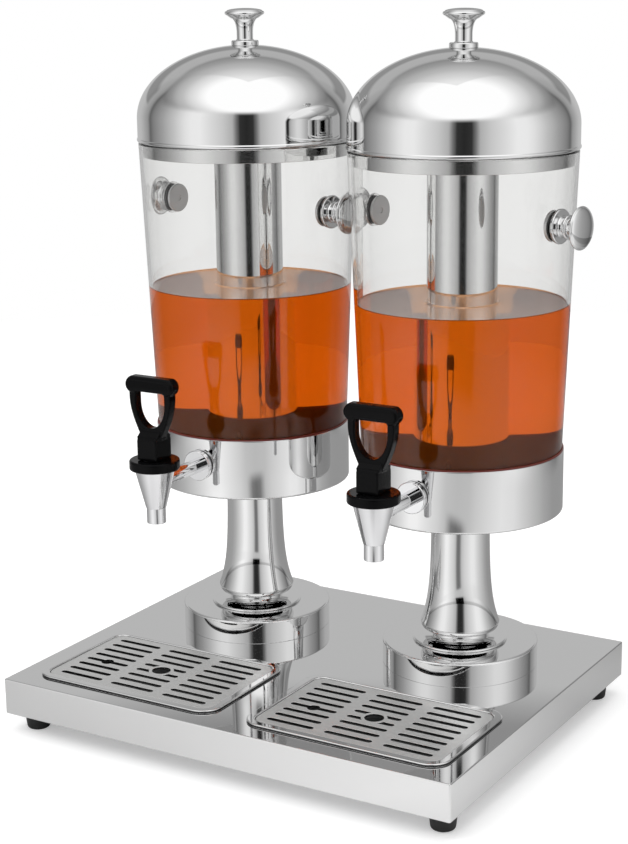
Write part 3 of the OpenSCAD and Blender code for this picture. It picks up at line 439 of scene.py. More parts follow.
def build_stem(side):
    wall, cap, bore = 2, COLLAR_Z - 3, 14
    lip_r, lip_w, lip_h = 33, 5.3, 7
    web_low, web_high = 50, 53
    web_r = stem_r((web_low + web_high) / 2) - 1
    rise = [STEM_FLARE_Z + (COLLAR_Z - STEM_FLARE_Z) * (i / 40) ** 1.4 for i in range(1, 41)]
    outer = arc(lip_r, STEM_FLARE_Z, lip_w, lip_h, -90, 0, 14) + [(stem_r(z), z) for z in rise]
    inner = arc(lip_r - wall, STEM_FLARE_Z, lip_w, lip_h - 0.8, -90, 0, 10)
    inner += [(stem_r(z) - wall, z) for z in rise if z < cap] + [(stem_r(cap) - wall, cap)]
    shell = outer + [(bore, COLLAR_Z), (bore, cap)] + inner[::-1]
    web = [(STEM_BOLT_R, web_low), (web_r, web_low), (web_r, web_high), (STEM_BOLT_R, web_high)]
    return revolved(f"dress_{side}_stem", [shell, web], unit(side))


COLLAR_TOP = 216


def build_collar(side):
    r, wall, floor, bore = 97.2, 1.5, 3, 14
    loop = fillet([(bore, COLLAR_Z), (r, COLLAR_Z, 2.2), (r, COLLAR_TOP, 0.5), (r - wall, COLLAR_TOP, 0.5),
                   (r - wall, COLLAR_Z + floor, 1), (bore, COLLAR_Z + floor)])
    return revolved(f"dress_{side}_collar", [loop], unit(side), 224)


def build_seals(side):
    low, high = COLLAR_TOP, COLLAR_TOP + 1.5
    gap, seam_r = 0.15, 97.0
    pad_in, pad_out, pad_t = 32.2, 84.1, 3
    seam = fillet([(tank_r(low) + gap, low), (seam_r, low), (seam_r, high, 0.6),
                   (tank_r(high) + gap, high, 0.2)])
    pad = [(pad_in, TANK_Z - pad_t), (pad_out, TANK_Z - pad_t), (pad_out, TANK_Z), (pad_in, TANK_Z)]
    return revolved(f"dress_{side}_tank_seals", [seam, pad], unit(side), 224)


def build_tank(side):
    stud_r, rim = 5.2, 1.45
    loop = fillet([(stud_r, TANK_Z), (tank_r(TANK_Z), TANK_Z, 2.2), (tank_r(TANK_TOP), TANK_TOP, rim),
                   (tank_r(TANK_TOP) - WALL, TANK_TOP, rim), (tank_r(TANK_FLOOR) - WALL, TANK_FLOOR),
                   (stud_r, TANK_FLOOR)], steps=8)
    return revolved(f"dress_{side}_tank", [loop], unit(side), 256)


JUICE_TOP = 355


def build_juice(side):
    """The juice, which bites a hair into the walls round it and climbs them a little at its surface."""
    bite = 0.06
    low = TANK_FLOOR - bite
    rim = tank_r(JUICE_TOP) - WALL + bite
    at_wall = [(rim, 1.3), (rim - 0.5, 0.75), (rim - 1.2, 0.35), (rim - 2.4, 0.1), (rim - 4, 0)]
    at_tube = [(TUBE_R + 5, 0), (TUBE_R + 3, 0.1), (TUBE_R + 1.4, 0.45), (TUBE_R - bite, 1.2)]
    surface = [(r, JUICE_TOP + climb) for r, climb in at_wall + at_tube]
    loop = [(TUBE_R - bite, low), (tank_r(low) - WALL + bite, low)] + surface
    return revolved(f"dress_{side}_juice", [loop], unit(side), 256)


def build_ice_tube(side):
    low, floor, top, wall = 168.5, 170.5, 491, 1
    stud_r, stud_low = 5, 154
    tube = fillet([(0, low), (TUBE_R, low, 1.5), (TUBE_R, top, 0.48), (TUBE_R - wall, top, 0.48),
                   (TUBE_R - wall, floor, 1), (0, floor)])
    stud = fillet([(0, stud_low), (stud_r, stud_low, 0.6), (stud_r, low + 1), (0, low + 1)])
    return revolved(f"dress_{side}_ice_tube", [tube, stud], unit(side), 160)


# ---------------------------------------------------------------- lids

BEAD_Z, DOME_R, DOME_SHEET = 499.7, 107, 1.2
SPRING_Z, DOME_RISE, SEAT_R = 519.7, 69, 15.7
LID_SCREW_R = 1.75
SEAT_ANGLE = math.degrees(math.acos(SEAT_R / DOME_R))
SEAT_Z = SPRING_Z + DOME_RISE * math.sin(math.radians(SEAT_ANGLE))


def build_dome(side):
    bead_at, bead = 105.32, 2.4
    r2, h2 = DOME_R - DOME_SHEET, DOME_RISE - DOME_SHEET
    meet = math.degrees(math.acos((DOME_R - bead_at) / bead))
    inner_meet = math.degrees(math.acos((r2 - bead_at) / bead))
    rim = arc(bead_at, BEAD_Z, bead, bead, inner_meet - 360, meet, 30)
    outer = [(DOME_R, BEAD_Z + 2.6), (DOME_R, SPRING_Z - 1)] \
        + arc(0, SPRING_Z, DOME_R, DOME_RISE, 0, SEAT_ANGLE, 64)
    hole = LID_SCREW_R + 0.2
    under = SEAT_Z - DOME_SHEET
    seat = [(SEAT_R - 0.4, SEAT_Z), (hole, SEAT_Z), (hole, under), (SEAT_R, under)]
    in_angle = math.degrees(math.acos(SEAT_R / r2))
    inner = arc(0, SPRING_Z, r2, h2, in_angle * 0.97, 0, 40) + [(r2, BEAD_Z + 3)]
    return revolved(f"dress_{side}_lid_dome", [rim + outer + seat + inner], unit(side), 256)


def build_skirt(side):
    r, flange_r, low, flange, sheet = 102.2, 105.6, 484.1, 502.3, 1.2
    loop = fillet([(r - sheet, low, 0.4), (r, low, 0.4), (r, flange, 0.6), (flange_r, flange),
                   (flange_r, flange + sheet), (r - sheet, flange + sheet, 1)])
    return revolved(f"dress_{side}_lid_skirt", [loop], unit(side), 224)


def build_lid_knob(side):
    h, cove, bore = 35.5, 1.8, LID_SCREW_R + 0.05
    foot, waist, cap = 13.3, 7.9, 19.2
    foot_top = 0.14 * h
    loop = fillet([(bore, 0), (foot, 0, 0.6), (foot, foot_top, 1.4), (waist + cove, foot_top), (waist, 7)],
                  closed=False)[:-2]
    loop += arc(waist + cove, foot_top + cove, cove, cove, 270, 180, 8)
    loop += [(waist, 0.2 * h + 1)]
    loop += arc(0.69 * cap, 0.34 * h, 0.69 * cap - waist, 0.39 * h, 180, 90, 24)
    loop += arc(cap - 1.8, 0.87 * h, 1.8, 1.8, -80, 90, 12)
    loop += arc(0, 0.92 * h, cap - 1.8, 0.08 * h, 0, 90, 16)[1:]
    loop += [(0, 0.4 * h), (bore, 0.4 * h)]
    m = unit(side) @ Matrix.Translation((0, 0, SEAT_Z * MM))
    return revolved(f"dress_{side}_lid_knob", [loop], m, 96)


# ---------------------------------------------------------------- side knobs

KNOB_Z, KNOB_TURN, KNOB_L = 433.97, 8.8, 27
SEAL_OUT, SEAL_IN = 1, 2


def knob_places():
    """The two outward axes of a tank's side knobs, from the tank's own axis."""
    out = []
    for turn in (0, 180):
        spin = Matrix.Rotation(math.radians(turn - KNOB_TURN), 4, "Z")
        out.append(Matrix.Translation((0, 0, KNOB_Z)) @ spin @ Matrix.Rotation(math.radians(90), 4, "Y"))
    return out


def build_side_knobs(side):
    ln, head, neck, flange, bore = KNOB_L, 19.6, 8.5, 15.9, 3.1
    edge, cove = 0.04 * ln, 0.07 * ln
    t = 0.11 * ln
    loop = [(bore, 0), (flange - 0.3, 0)]
    loop += arc(flange - edge, t - edge, edge, edge, 0, 90, 6) + [(flange - edge - 0.4, t)]
    loop += [(neck + cove + 0.4, t)] + arc(neck + cove, t + cove, cove, cove, 270, 180, 8)
    loop += arc(neck, 0.38 * ln, 0.3 * neck, 0.06 * ln, -90, 90, 12)
    loop += arc(head - edge, 0.55 * ln, head - edge - neck, 0.25 * ln, 180, 90, 16)
    loop += arc(head - edge, 0.8 * ln + edge, edge, edge, -90, 80, 10)
    loop += arc(0, 0.8 * ln + 2 * edge, head - edge, 0.2 * ln - 2 * edge, 0, 90, 20)[1:]
    loop += [(0, 0.5 * ln), (bore, 0.5 * ln)]
    seat = tank_r(KNOB_Z) + SEAL_OUT
    places = [p @ Matrix.Translation((0, 0, seat)) for p in knob_places()]
    return revolved(f"dress_{side}_side_knobs", [loop, loop], unit(side), 96, places)


def build_knob_bolts():
    """The disc heads inside the tanks with their bolts, four in all."""
    bm = bmesh.new()
    face = tank_r(KNOB_Z) - WALL - SEAL_IN
    r, bolt_r = 14.3, 3
    t, dimple = 0.2 * r, 0.2 * r
    end = face + SEAL_IN + WALL + SEAL_OUT + 0.45 * KNOB_L
    loop = fillet([(0, face - 2 * t / 3), (dimple, face - 2 * t / 3), (dimple, face - t, 0.2),
                   (r, face - t, 0.9), (r, face, 0.3), (bolt_r, face), (bolt_r, end), (0, end)])
    for side, _ in SIDES:
        c = middle(side + "_collar") / MM
        for p in knob_places():
            add_revolved(bm, loop, 72, Matrix.Translation((c.x, c.y, 0)) @ p)
    return finish_mesh(bm, "dress_knob_bolts", Matrix.Translation((0, 0, plate_z)))


# ---------------------------------------------------------------- taps

TAP_AT, SHANK_Z = 171, 190
NUT_FRONT, LOCK_NUT = 103.2, 83.4
CONE_TOP, CONE_LOW, SPOUT_LOW = 204, 166.3, 151.3
BONNET_T, LEVER_Z = 9.5, 213.8
FORWARD = Matrix.Rotation(math.radians(90), 4, "X")


def build_tap_body(side):
    bore, spout_r, low_r, high_r, wall = 6, 9.1, 9.6, 19.1, 2.5
    floor = CONE_LOW + 2 * wall
    cone = fillet([(bore, SPOUT_LOW, 0.3), (spout_r, SPOUT_LOW, 0.5), (spout_r, CONE_LOW, 0.5),
                   (low_r, CONE_LOW, 0.3), (high_r, CONE_TOP), (high_r - wall, CONE_TOP), (8.4, floor),
                   (bore, floor)])
    shank_r, into_cone = 7, TAP_AT - 12.5
    shank = [(0, NUT_FRONT), (shank_r, NUT_FRONT), (shank_r, into_cone), (0, into_cone)]
    thread_r, thread_bore, end = 6, 3.9, 71
    thread = fillet([(thread_bore, end), (thread_r, end, 0.8), (thread_r, NUT_FRONT + 0.8),
                     (thread_bore, NUT_FRONT + 0.8)])
    tap = Matrix.Translation((0, -TAP_AT, 0))
    out = Matrix.Translation((0, 0, SHANK_Z)) @ FORWARD
    return revolved(f"dress_{side}_tap_body", [cone, shank, thread], unit(side), 96, [tap, out, out])


def build_tap_nuts(side):
    bore, flange_r, flange_t, nut_r, nut_t = 6.2, 15, 5, 12, 6
    back = NUT_FRONT - flange_t
    front = fillet([(bore, back), (flange_r, back, 0.6), (flange_r, NUT_FRONT, 1.1), (bore, NUT_FRONT)])
    nut = [(bore, LOCK_NUT), (nut_r, LOCK_NUT), (nut_r, LOCK_NUT + nut_t), (bore, LOCK_NUT + nut_t)]
    out = Matrix.Translation((0, 0, SHANK_Z)) @ FORWARD
    bm = bmesh.new()
    add_revolved(bm, front, 96, out)
    add_revolved(bm, nut, 6, out)
    return finish_mesh(bm, f"dress_{side}_tap_nuts", unit(side))


def build_bonnet(side):
    bore, plug_r, plug_h, r = 2.6, 14.6, 5, 23.9
    low, top = CONE_TOP - plug_h, CONE_TOP + BONNET_T
    loop = fillet([(bore, low), (plug_r, low), (plug_r, CONE_TOP), (r, CONE_TOP, 1.6), (r, top, 1.8),
                   (bore, top)])
    tap = Matrix.Translation((0, -TAP_AT * MM, 0))
    return revolved(f"dress_{side}_tap_bonnet", [loop], unit(side) @ tap, 112)


def add_box(bm, x0, x1, y0, y1, z0, z1, bevel=0.0, steps=4):
    geo = bmesh.ops.create_cube(bm, size=1)
    verts = geo["verts"]
    for v in verts:
        share = v.co + Vector((0.5, 0.5, 0.5))
        v.co = Vector((x0 + (x1 - x0) * share.x, y0 + (y1 - y0) * share.y, z0 + (z1 - z0) * share.z))
    if bevel:
        edges = list({e for v in verts for e in v.link_edges})
        bmesh.ops.bevel(bm, geom=edges, offset=bevel, segments=steps, profile=0.5, affect="EDGES")


def circle(cx, cy, r, count=40):
    return arc(cx, cy, r, r, 0, 360 - 360 / count, count - 1)


def add_slab(bm, outlines, layers):
    """Adds an upright slab, its outlines in X and Z, eased towards its front and back faces.
    The first outline is the edge and any others are holes. Each layer is (Y, how far the edge moves in)."""
    rings = []
    for y, inset in layers:
        moved = [grow(pts, -inset if k == 0 else inset) for k, pts in enumerate(outlines)]
        rings.append([[bm.verts.new((px, y, pz)) for px, pz in pts] for pts in moved])
    for a, b in zip(rings, rings[1:]):
        for ring_a, ring_b in zip(a, b):
            join_rings(bm, ring_a, ring_b)
    for end in (rings[0], rings[-1]):
        verts = [v for ring in end for v in ring]
        for tri in tessellate_polygon([[Vector((v.co.x, v.co.z, 0)) for v in ring] for ring in end]):
            bm.faces.new([verts[i] for i in tri])


def eased(depth, ease, count=4):
    """Layers of a slab of a depth whose edges are rounded by a quarter circle."""
    out = []
    for i in range(count + 1):
        t = math.radians(90 * i / count)
        out.append((-depth / 2 + ease * (1 - math.sin(t)), ease * (1 - math.cos(t))))
    out = out[::-1]
    return out + [(-y, inset) for y, inset in out[::-1]]


def build_lever(side):
    """Forked block, saddle, finger loop and grip bar, run together as one moulding."""
    block_w, block_d, block_h = 22, 25, 22
    gap, gap_h, gap_front = 6.5, 16.9, 10.1
    loop_h, bar_h, bar_w, bar_d = 42, 14.5, 55, 14
    arm_t, arm_d = 7.0, 10.5
    bm = bmesh.new()
    for x0, x1 in ((-block_w / 2, -gap), (gap, block_w / 2)):
        add_box(bm, x0, x1, -block_d / 2, block_d / 2, 0, block_h - 2, 1.2)
    add_box(bm, -block_w / 2 + 1, block_w / 2 - 1, -block_d / 2, -gap_front, 0.3, block_h - 2, 0.8)
    add_box(bm, -block_w / 2, block_w / 2, -block_d / 2, block_d / 2, gap_h, block_h, 2.0)
    # finger loop: a V with full shoulders, and a hole that is round below
    low, wide, shoulder = 0.53 * block_w, (bar_w - 1.2 * arm_t) / 2, 0.9 * loop_h
    rise = [(low + (wide - low) * math.sin(math.radians(90 * i / 16)), shoulder * i / 16)
            for i in range(17)]
    top = loop_h + bar_h / 2
    edge = [(-low, -2), (low, -2)] + rise + [(wide, top), (-wide, top)] + [(-x, z) for x, z in rise[::-1]]
    half = wide - arm_t
    side_z, roof_z = 0.8 * loop_h, loop_h + 0.5
    hole = arc(0, 0.74 * loop_h, half, 0.55 * loop_h, 180, 360, 32) \
        + fillet([(half, side_z), (half, roof_z, 3), (-half, roof_z, 3), (-half, side_z)], closed=False)
    outlines = [[(x, z + block_h) for x, z in pts] for pts in (edge, hole)]
    add_slab(bm, outlines, eased(arm_d, 1.3))
    # saddle between the block and the loop
    saddle_h, saddle_d = 6.5, block_d / 2 - 1.5
    for k in range(8):
        t = k / 8
        reach = arm_d / 2 + (saddle_d - arm_d / 2) * (1 - math.sin(math.radians(90 * t)))
        z = block_h + saddle_h * t
        add_box(bm, -low + 0.4, low - 0.4, -reach, reach, z - 1.2, z + 0.9)
    # grip bar with a rounded lobe at each end
    base, ease, lobe_r = block_h + loop_h, 3.6, 8.1
    add_box(bm, -bar_w / 2 + 3, bar_w / 2 - 3, -bar_d / 2, bar_d / 2, base, base + bar_h, ease, 6)
    for x in (-1, 1):
        lobe = circle(x * (bar_w / 2 - lobe_r), base + bar_h - lobe_r, lobe_r, 40)
        add_slab(bm, [lobe], eased(bar_d, ease, 6))
    bmesh.ops.recalc_face_normals(bm, faces=bm.faces)
    bm.transform(Matrix.Scale(MM, 4))
    me = bpy.data.meshes.new("lever_blocks")
    bm.to_mesh(me)
    bm.free()
    tmp = bpy.data.objects.new("lever_blocks", me)
    bpy.context.scene.collection.objects.link(tmp)
    rem = tmp.modifiers.new("moulding", "REMESH")
    rem.mode = "VOXEL"
    rem.voxel_size = 0.45 * MM
    rem.use_smooth_shade = True
    ease_mod = tmp.modifiers.new("ease", "SMOOTH")
    ease_mod.factor = 0.5
    ease_mod.iterations = 3
    dg = bpy.context.evaluated_depsgraph_get()
    done = bpy.data.meshes.new_from_object(tmp.evaluated_get(dg))
    bpy.data.objects.remove(tmp)
    ob = bpy.data.objects.new(f"dress_{side}_tap_lever", done)
    bpy.context.scene.collection.objects.link(ob)
    for p in done.polygons:
        p.use_smooth = True
    ob.matrix_world = unit(side) @ Matrix.Translation((0, -TAP_AT * MM, LEVER_Z * MM))
    return ob


# ---------------------------------------------------------------- trays and grilles

def tray_matrix(side):
    c = middle(side + "_drip_tray")
    return Matrix.Translation((c.x, c.y, plate_z))


def build_tray(side):
    bm = bmesh.new()
    sheet, gap, rim, rim_w, ledge, wall, deep = 1.2, 0.3, 2.5, 8, -0.3, 14, 22
    top = fillet([(0.7, gap), (0, gap, 0.5), (0, rim, 1.1), (rim_w, rim, 1.2), (rim_w, ledge, 0.3),
                  (wall, ledge, 0.7), (wall, sheet - deep, 1.8), (wall + 3, sheet - deep)],
                 closed=False, steps=7)
    low = fillet([(wall + 3, -deep), (wall - sheet, -deep, 2.6), (wall - sheet, ledge - sheet, 0.4),
                  (rim_w - sheet, ledge - sheet), (rim_w - sheet, gap), (0.7, gap)], closed=False)
    for profile, end in ((top, -1), (low, 0)):
        rings = [ring_of(bm, round_rect(TRAY_W, TRAY_D, TRAY_R, inset, 14), z) for inset, z in profile]
        for a, b in zip(rings, rings[1:]):
            join_rings(bm, a, b)
        bm.faces.new(rings[end])
    return finish_mesh(bm, f"dress_{side}_drip_tray", tray_matrix(side))


def slot_outline(cx, cy, length, width):
    run, r = (length - width) / 2, width / 2
    return arc(cx + run, cy, r, r, -90, 90, 8) + arc(cx - run, cy, r, r, 90, 270, 8)


def slot_with_hole(cx, cy, length, width, hole):
    """A slot with a round hole about its middle."""
    run, r = (length - width) / 2, width / 2
    a = math.degrees(math.asin(r / hole))
    return arc(cx + run, cy, r, r, -90, 90, 8) + arc(cx, cy, hole, hole, a, 180 - a, 12) \
        + arc(cx - run, cy, r, r, 90, 270, 8) + arc(cx, cy, hole, hole, 180 + a, 360 - a, 12)


def trimmed_slot(cx, cy, length, width, keep_out, end):
    """Half of a slot beside the finger hole: one round end, and one end cut by a circle round the hole."""
    run, r, start = (length - width) / 2, width / 2, -90 * end
    near = []
    for i in range(9):
        y = cy + end * r * (1 - i / 4)
        near.append((end * math.sqrt(max(keep_out ** 2 - y ** 2, 0)), y))
    return arc(cx + end * run, cy, r, r, start, start + 180, 8) + near


def build_grille(side):
    bm = bmesh.new()
    top, low, ease = 1.5, 0.0, 0.35
    rows, columns, pitch_y, pitch_x, length, width = 8, 3, 13.6, 59.8, 48, 5.5
    hole, bridge, drain, inset = 9, 3.2, 6, 8.4
    holes = []
    for i in range(columns):
        for j in range(rows):
            cx, cy = (i - 1) * pitch_x, (j - (rows - 1) / 2) * pitch_y
            if i == 1 and abs(cy) < hole:
                holes.append(trimmed_slot(cx, cy, length, width, hole + bridge, 1))
                holes.append(trimmed_slot(cx, cy, length, width, hole + bridge, -1))
            elif (i, j) == (0, 3):
                holes.append(slot_with_hole(cx, cy, length, width, drain))
            else:
                holes.append(slot_outline(cx, cy, length, width))
    holes.append(circle(0, 0, hole))
    outline = round_rect(TRAY_W - 2 * inset, TRAY_D - 2 * inset, TRAY_R - inset, 0, 12)
    # each edge: wall, small round, then a flat guard strip that keeps the plate's shading even
    steps = [(ease * (1 - math.cos(math.radians(a))), top - ease + ease * math.sin(math.radians(a)))
             for a in (0, 30, 60, 90)] + [(ease + 0.25, top)]
    tops, lows = [], []
    for k, pts in enumerate([outline] + holes):
        sign = -1 if k == 0 else 1
        rings = [ring_of(bm, pts, low)]
        for d, z in steps:
            rings.append(ring_of(bm, grow(pts, sign * d), z))
        for a, b in zip(rings, rings[1:]):
            join_rings(bm, a, b)
        tops.append(rings[-1])
        lows.append(rings[0])
    fill_rings(bm, tops)
    fill_rings(bm, lows)
    return finish_mesh(bm, f"dress_{side}_grille", tray_matrix(side))


def tray_finish_and_shade(face):
    """Polished outside; rougher in the well, where painted shade darkens the colour; and painted shadow, near
    black, on the thin upright edges of the rim.
    """
    well_low, well_high, rim_high = -21.5 * MM, -1.2 * MM, 1.6 * MM
    z = face.center.z
    if well_low < z < well_high and (face.normal.z > 0.5 or face.normal.dot(face.center) < 0):
        return 1
    return 2 if well_high <= z < rim_high and abs(face.normal.z) < 0.35 else 0


def grille_finish_and_shade(face):
    """Satin, and painted shadow, near black, on the walls of the slots and holes, which lie clear of the
    plate's own edge.
    """
    inside_x, inside_y = 93.5 * MM, 59 * MM
    inside = abs(face.center.x) < inside_x and abs(face.center.y) < inside_y
    return 1 if inside and abs(face.normal.z) < 0.5 else 0


# the disc heads take the painted-light steel
dress(build_knob_bolts(), "knob_bolts", "base", [LIT_BOLT_HEAD], lambda f: 1)
for side, _ in SIDES:
    dress(build_disc(side), side + "_pedestal_disc", "base")
    dress(build_stem_foot(side), side + "_stem_foot", "base")
    dress(build_stem(side), side + "_stem", "base")
    dress(build_collar(side), side + "_collar", "base")
    dress(build_seals(side), side + "_tank_seals", "base")
    dress(build_tank(side), side + "_tank", "base")
    # the juice's top faces take the painted reflection
    dress(build_juice(side), side + "_juice", "base", [PAINTED_JUICE_SHEEN], lambda f: f.normal.z > 0.5)
    dress(build_ice_tube(side), side + "_ice_tube", "base")
    dress(build_side_knobs(side), side + "_side_knobs", "base")
    dress(build_tap_body(side), side + "_tap_body", "base")
    dress(build_tap_nuts(side), side + "_tap_nuts", "base")
    dress(build_bonnet(side), side + "_tap_bonnet", "base")
    dress(build_dome(side), side + "_lid_dome", side + "_lid")
    dress(build_skirt(side), side + "_lid_skirt", side + "_lid")
    dress(build_lid_knob(side), side + "_lid_knob", side + "_lid")
    dress(build_lever(side), side + "_tap_lever", side + "_lever")
    # the tray takes painted shade in its well and painted shadow on its rim edges; the grille takes painted
    # shadow on its slot walls
    dress(build_tray(side), side + "_drip_tray", side + "_tray", [PAINTED_WELL_SHADE, PAINTED_GAP_SHADOW], tray_finish_and_shade)
    dress(build_grille(side), side + "_grille", side + "_grille", [PAINTED_GAP_SHADOW], grille_finish_and_shade)

# ---------------------------------------------------------------- floor, light and camera

CAMERA_AZ = 31.184
ROOM_R, ROOM_H = 2.2, 2.6


class Nodes:
    """Short names for the few node kinds that the floor and the studio are made of."""

    def __init__(self, tree):
        tree.nodes.clear()
        self.tree = tree
        self.light_path = self.new("LightPath")

    def new(self, kind):
        return self.tree.nodes.new("ShaderNode" + kind)

    def put(self, value, socket):
        if isinstance(value, bpy.types.NodeSocket):
            self.tree.links.new(value, socket)
        else:
            socket.default_value = value

    def math(self, op, *values):
        n = self.new("Math")
        n.operation = op
        for k, v in enumerate(values):
            self.put(v, n.inputs[k])
        return n.outputs[0]

    def vector(self, op, a, b=None):
        n = self.new("VectorMath")
        n.operation = op
        self.put(a, n.inputs[0])
        if b is not None:
            self.put(b, n.inputs[1])
        return n.outputs["Value"] if op in ("DOT_PRODUCT", "LENGTH") else n.outputs["Vector"]

    def ramp(self, value, stops):
        n = self.new("ValToRGB")
        els = n.color_ramp.elements
        while len(els) > 1:
            els.remove(els[-1])
        for k, (pos, level) in enumerate(stops):
            e = els[0] if k == 0 else els.new(pos)
            e.position = pos
            e.color = (level, level, level, 1)
        self.put(value, n.inputs[0])
        return n.outputs[0]

    def levels(self, turn, *stops):
        """A ramp over an angle that runs from 0 to 1 in a half turn, its stops in degrees."""
        return self.ramp(turn, [(degrees / 180, level) for degrees, level in stops])

    def smooth(self, value, low, high):
        n = self.new("MapRange")
        n.interpolation_type = "SMOOTHSTEP"
        self.put(value, n.inputs["Value"])
        self.put(low, n.inputs["From Min"])
        self.put(high, n.inputs["From Max"])
        return n.outputs["Result"]

    def blend(self, share, a, b):
        n = self.new("Mix")
        n.data_type = "FLOAT"
        self.put(share, n.inputs[0])
        self.put(a, n.inputs[2])
        self.put(b, n.inputs[3])
        return n.outputs[0]

    def turn(self, where):
        """How far a place lies round from the camera's side, 0 in front to 1 at the back."""
        az = math.radians(CAMERA_AZ)
        u = self.vector("DOT_PRODUCT", where, (math.sin(az), -math.cos(az), 0))
        v = self.vector("DOT_PRODUCT", where, (math.cos(az), math.sin(az), 0))
        return self.math("DIVIDE", self.math("ABSOLUTE", self.math("ARCTAN2", v, u)), math.pi)

    def seen_directly(self):
        """1 for rays that come from the camera straight or through clear pieces, else 0."""
        depth = self.light_path.outputs
        bounces = self.math("ADD", depth["Diffuse Depth"], depth["Glossy Depth"])
        return self.math("LESS_THAN", bounces, 0.5)

    def deep(self):
        """1 for rays that have passed several clear walls, as those do that a mirror in the juice sends back,
        else 0."""
        return self.math("GREATER_THAN", self.light_path.outputs["Transmission Depth"], 4.5)


def stage_mesh(name, bm):
    me = bpy.data.meshes.new(name)
    bm.to_mesh(me)
    bm.free()
    ob = bpy.data.objects.new(name, me)
    bpy.context.scene.collection.objects.link(ob)
    mat = bpy.data.materials.new(name + "_finish")
    mat.use_nodes = True
    ob.data.materials.append(mat)
    return ob, Nodes(mat.node_tree)


def make_floor():
    """A pale floor. Mirrors see it in four rings round the base: near, inner, outer and far. The level of
    each changes with the turn from the camera's side: painted light and shade in the floor's colour, standing
    in for the light on a pale sheet between boards in a dim room."""
    bm = bmesh.new()
    bmesh.ops.create_circle(bm, cap_ends=True, segments=96, radius=ROOM_R)
    _, n = stage_mesh("floor", bm)
    direct, deep = n.seen_directly(), n.deep()
    where = n.new("TexCoord").outputs["Object"]
    reach = n.vector("LENGTH", where)
    turn = n.turn(where)
    # what mirrors see of the floor: painted light and shade, ring by ring, in its colour
    near = n.levels(turn, (0, 0.92), (31, 0.82), (64, 0.69), (86, 0.57), (180, 0.50))
    inner = n.levels(turn, (0, 0.16), (5, 0.20), (12, 0.54), (20, 0.66), (33, 0.77), (45, 0.90), (55, 0.90),
                     (68, 0.72), (80, 0.58), (95, 0.43), (110, 0.35), (180, 0.31))
    outer = n.levels(turn, (0, 0.52), (12, 0.55), (20, 0.64), (33, 0.76), (45, 0.86), (58, 0.82),
                     (68, 0.70), (80, 0.57), (95, 0.43), (110, 0.35), (180, 0.31))
    far = n.levels(turn, (0, 0.0), (12, 0.01), (15, 0.44), (25, 0.66), (37, 0.80), (50, 0.92), (60, 0.90),
                   (67, 0.82), (82, 0.58), (97, 0.38), (112, 0.20), (118, 0.14), (135, 0.42), (180, 0.42))
    far = n.math("MULTIPLY", far, n.blend(n.smooth(reach, 1.4, 1.65), 1.0, 0.7))
    fall = n.blend(n.smooth(reach, 0.78, 0.86), inner, outer)
    fall = n.blend(n.smooth(reach, 1.06, 1.24), fall, far)
    fall = n.blend(n.smooth(reach, 0.34, 0.52), near, fall)
    to_eye, to_mirror, to_deep = (0.82, 0.35), (fall, 0), (0.95, 0.2)  # colour and glow for each kind of ray
    dif = n.new("BsdfDiffuse")
    n.put(n.blend(direct, n.blend(deep, to_mirror[0], to_deep[0]), to_eye[0]), dif.inputs["Color"])
    em = n.new("Emission")
    n.put(n.blend(direct, n.blend(deep, to_mirror[1], to_deep[1]), to_eye[1]), em.inputs["Strength"])
    add = n.new("AddShader")
    n.put(dif.outputs[0], add.inputs[0])
    n.put(em.outputs[0], add.inputs[1])
    n.put(add.outputs[0], n.new("OutputMaterial").inputs["Surface"])


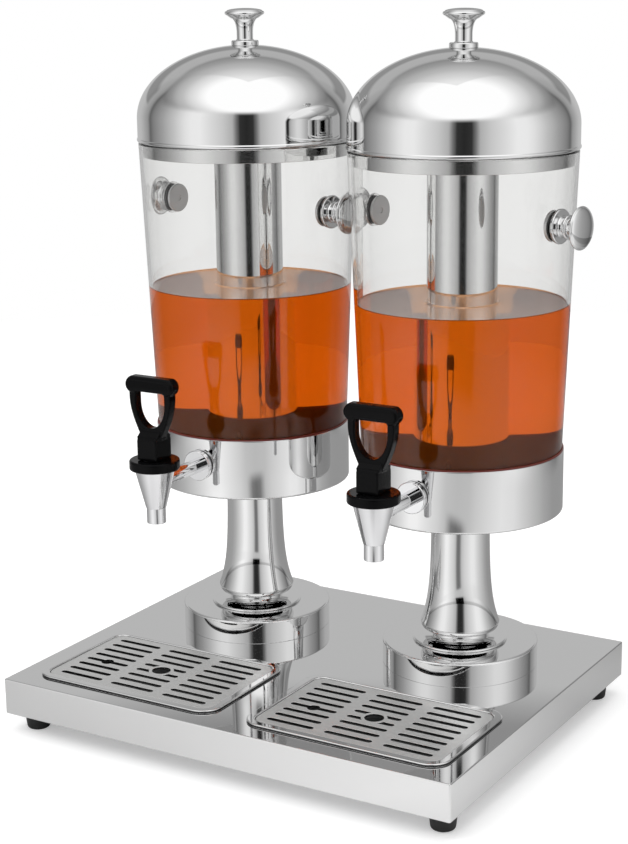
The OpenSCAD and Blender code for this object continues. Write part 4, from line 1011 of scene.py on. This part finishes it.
def make_room():
    """The studio round the object, seen only in mirrors. Its wall is dark in front, brightest about
    50 degrees to the sides, dark again behind that and grey at the back. A soft ceiling, brightest
    high up towards the front, takes over from the wall further up."""
    bm = bmesh.new()
    rings = []
    for h in (0, ROOM_H):
        place = Matrix.Translation((0, 0, h))
        rings.append(bmesh.ops.create_circle(bm, segments=128, radius=ROOM_R, matrix=place)["verts"])
    join_rings(bm, *rings)
    bm.faces.new(rings[1])
    ob, n = stage_mesh("room", bm)
    ob.visible_camera = False
    ob.visible_diffuse = False
    ob.visible_shadow = False
    where = n.new("TexCoord").outputs["Object"]
    az = math.radians(CAMERA_AZ)
    z = n.vector("DOT_PRODUCT", where, (0, 0, 1))
    turn = n.turn(where)
    wall = n.levels(turn, (0, 0.02), (7, 0.03), (11, 0.17), (15, 0.42), (25, 0.565), (37, 0.68), (50, 0.82),
                    (60, 0.81), (67, 0.74), (82, 0.51), (97, 0.33), (112, 0.20), (118, 0.12), (123, 0.28),
                    (135, 0.40), (142, 0.45), (180, 0.45))
    # the back wall has a darker band, its stops given as heights
    back = n.smooth(turn, 128 / 180, 136 / 180)
    band = [(0, 1.0), (0.96, 1.0), (1.06, 0.55), (1.5, 0.55), (1.7, 0.9), (ROOM_H, 0.9)]
    shade = n.ramp(n.math("DIVIDE", z, ROOM_H), [(height / ROOM_H, share) for height, share in band])
    wall = n.math("MULTIPLY", wall, n.blend(back, 1.0, shade))
    # the ceiling's level falls with the angle from its brightest spot, seen from the lids' height
    eye, peak = (0, 0, 0.62), math.radians(62)
    seen = n.vector("NORMALIZE", n.vector("SUBTRACT", where, eye))
    spot = (math.sin(az) * math.cos(peak), -math.cos(az) * math.cos(peak), math.sin(peak))
    away = n.math("DIVIDE", n.math("ARCCOSINE", n.vector("DOT_PRODUCT", seen, spot)), math.pi)
    above = n.levels(away, (0, 1.0), (34, 1.0), (39, 0.90), (44, 0.78), (50, 0.66), (56, 0.51), (62, 0.42),
                     (68, 0.29), (76, 0.18), (180, 0.18))
    # the wall reaches higher at the back
    wall_top, wall_rise, fade = 1.3, 0.95, 0.55
    top = n.math("MULTIPLY_ADD", n.smooth(turn, 105 / 180, 140 / 180), wall_rise, wall_top)
    split = n.smooth(n.math("SUBTRACT", z, top), 0, fade)
    strength, to_deep, to_eye = 1.24, 1.15, 1.0
    level = n.math("MULTIPLY", n.blend(split, wall, above), strength)
    level = n.blend(n.deep(), level, to_deep)
    level = n.blend(n.seen_directly(), level, to_eye)
    em = n.new("Emission")
    n.put(level, em.inputs["Strength"])
    n.put(em.outputs[0], n.new("OutputMaterial").inputs["Surface"])


def make_world():
    """Plain white for the eye, a little less for what lights the object."""
    world = bpy.data.worlds.new("studio")
    bpy.context.scene.world = world
    world.use_nodes = True
    n = Nodes(world.node_tree)
    back = n.new("Background")
    back.inputs["Color"].default_value = (1, 1, 1, 1)
    n.put(n.blend(n.seen_directly(), 0.8, 1.0), back.inputs["Strength"])
    n.put(back.outputs[0], n.new("OutputWorld").inputs["Surface"])


def make_lamp(name, place, target, size, power):
    data = bpy.data.lights.new(name, "AREA")
    data.shape = "SQUARE"
    data.size = size
    data.energy = power
    ob = bpy.data.objects.new(name, data)
    bpy.context.scene.collection.objects.link(ob)
    ob.location = place
    ob.rotation_euler = (Vector(target) - Vector(place)).to_track_quat("-Z", "Y").to_euler()
    ob.visible_glossy = False
    ob.visible_camera = False
    ob.visible_transmission = False


def make_camera():
    """The camera that was fitted to the photo's measured points."""
    photo_h, focal_px = 844, 1825.413
    az, el, roll = math.radians(CAMERA_AZ), math.radians(13.903), math.radians(-0.763)
    back = Vector((math.sin(az) * math.cos(el), -math.cos(az) * math.cos(el), math.sin(el)))
    right = Vector((math.cos(az), math.sin(az), 0))
    up = back.cross(right)
    x = right * math.cos(roll) + up * math.sin(roll)
    y = -right * math.sin(roll) + up * math.cos(roll)
    data = bpy.data.cameras.new("camera")
    data.sensor_fit = "VERTICAL"
    data.sensor_height = 36
    data.lens = focal_px * data.sensor_height / photo_h
    data.clip_start = 0.05
    data.clip_end = 50
    ob = bpy.data.objects.new("camera", data)
    bpy.context.scene.collection.objects.link(ob)
    m = Matrix((x, y, back)).transposed().to_4x4()
    m.translation = (0.87032, -1.44324, 0.65795 + plate_z)
    ob.matrix_world = m
    bpy.context.scene.camera = ob


make_floor()
make_room()
make_world()
make_lamp("key", (-0.9, -1.6, 2.2), (0, 0, 0.2), 1.6, 22)
make_lamp("top", (0.3, 0.2, 2.6), (0, 0, 0), 1.8, 14)
make_camera()
bpy.context.scene.view_settings.view_transform = "Standard"
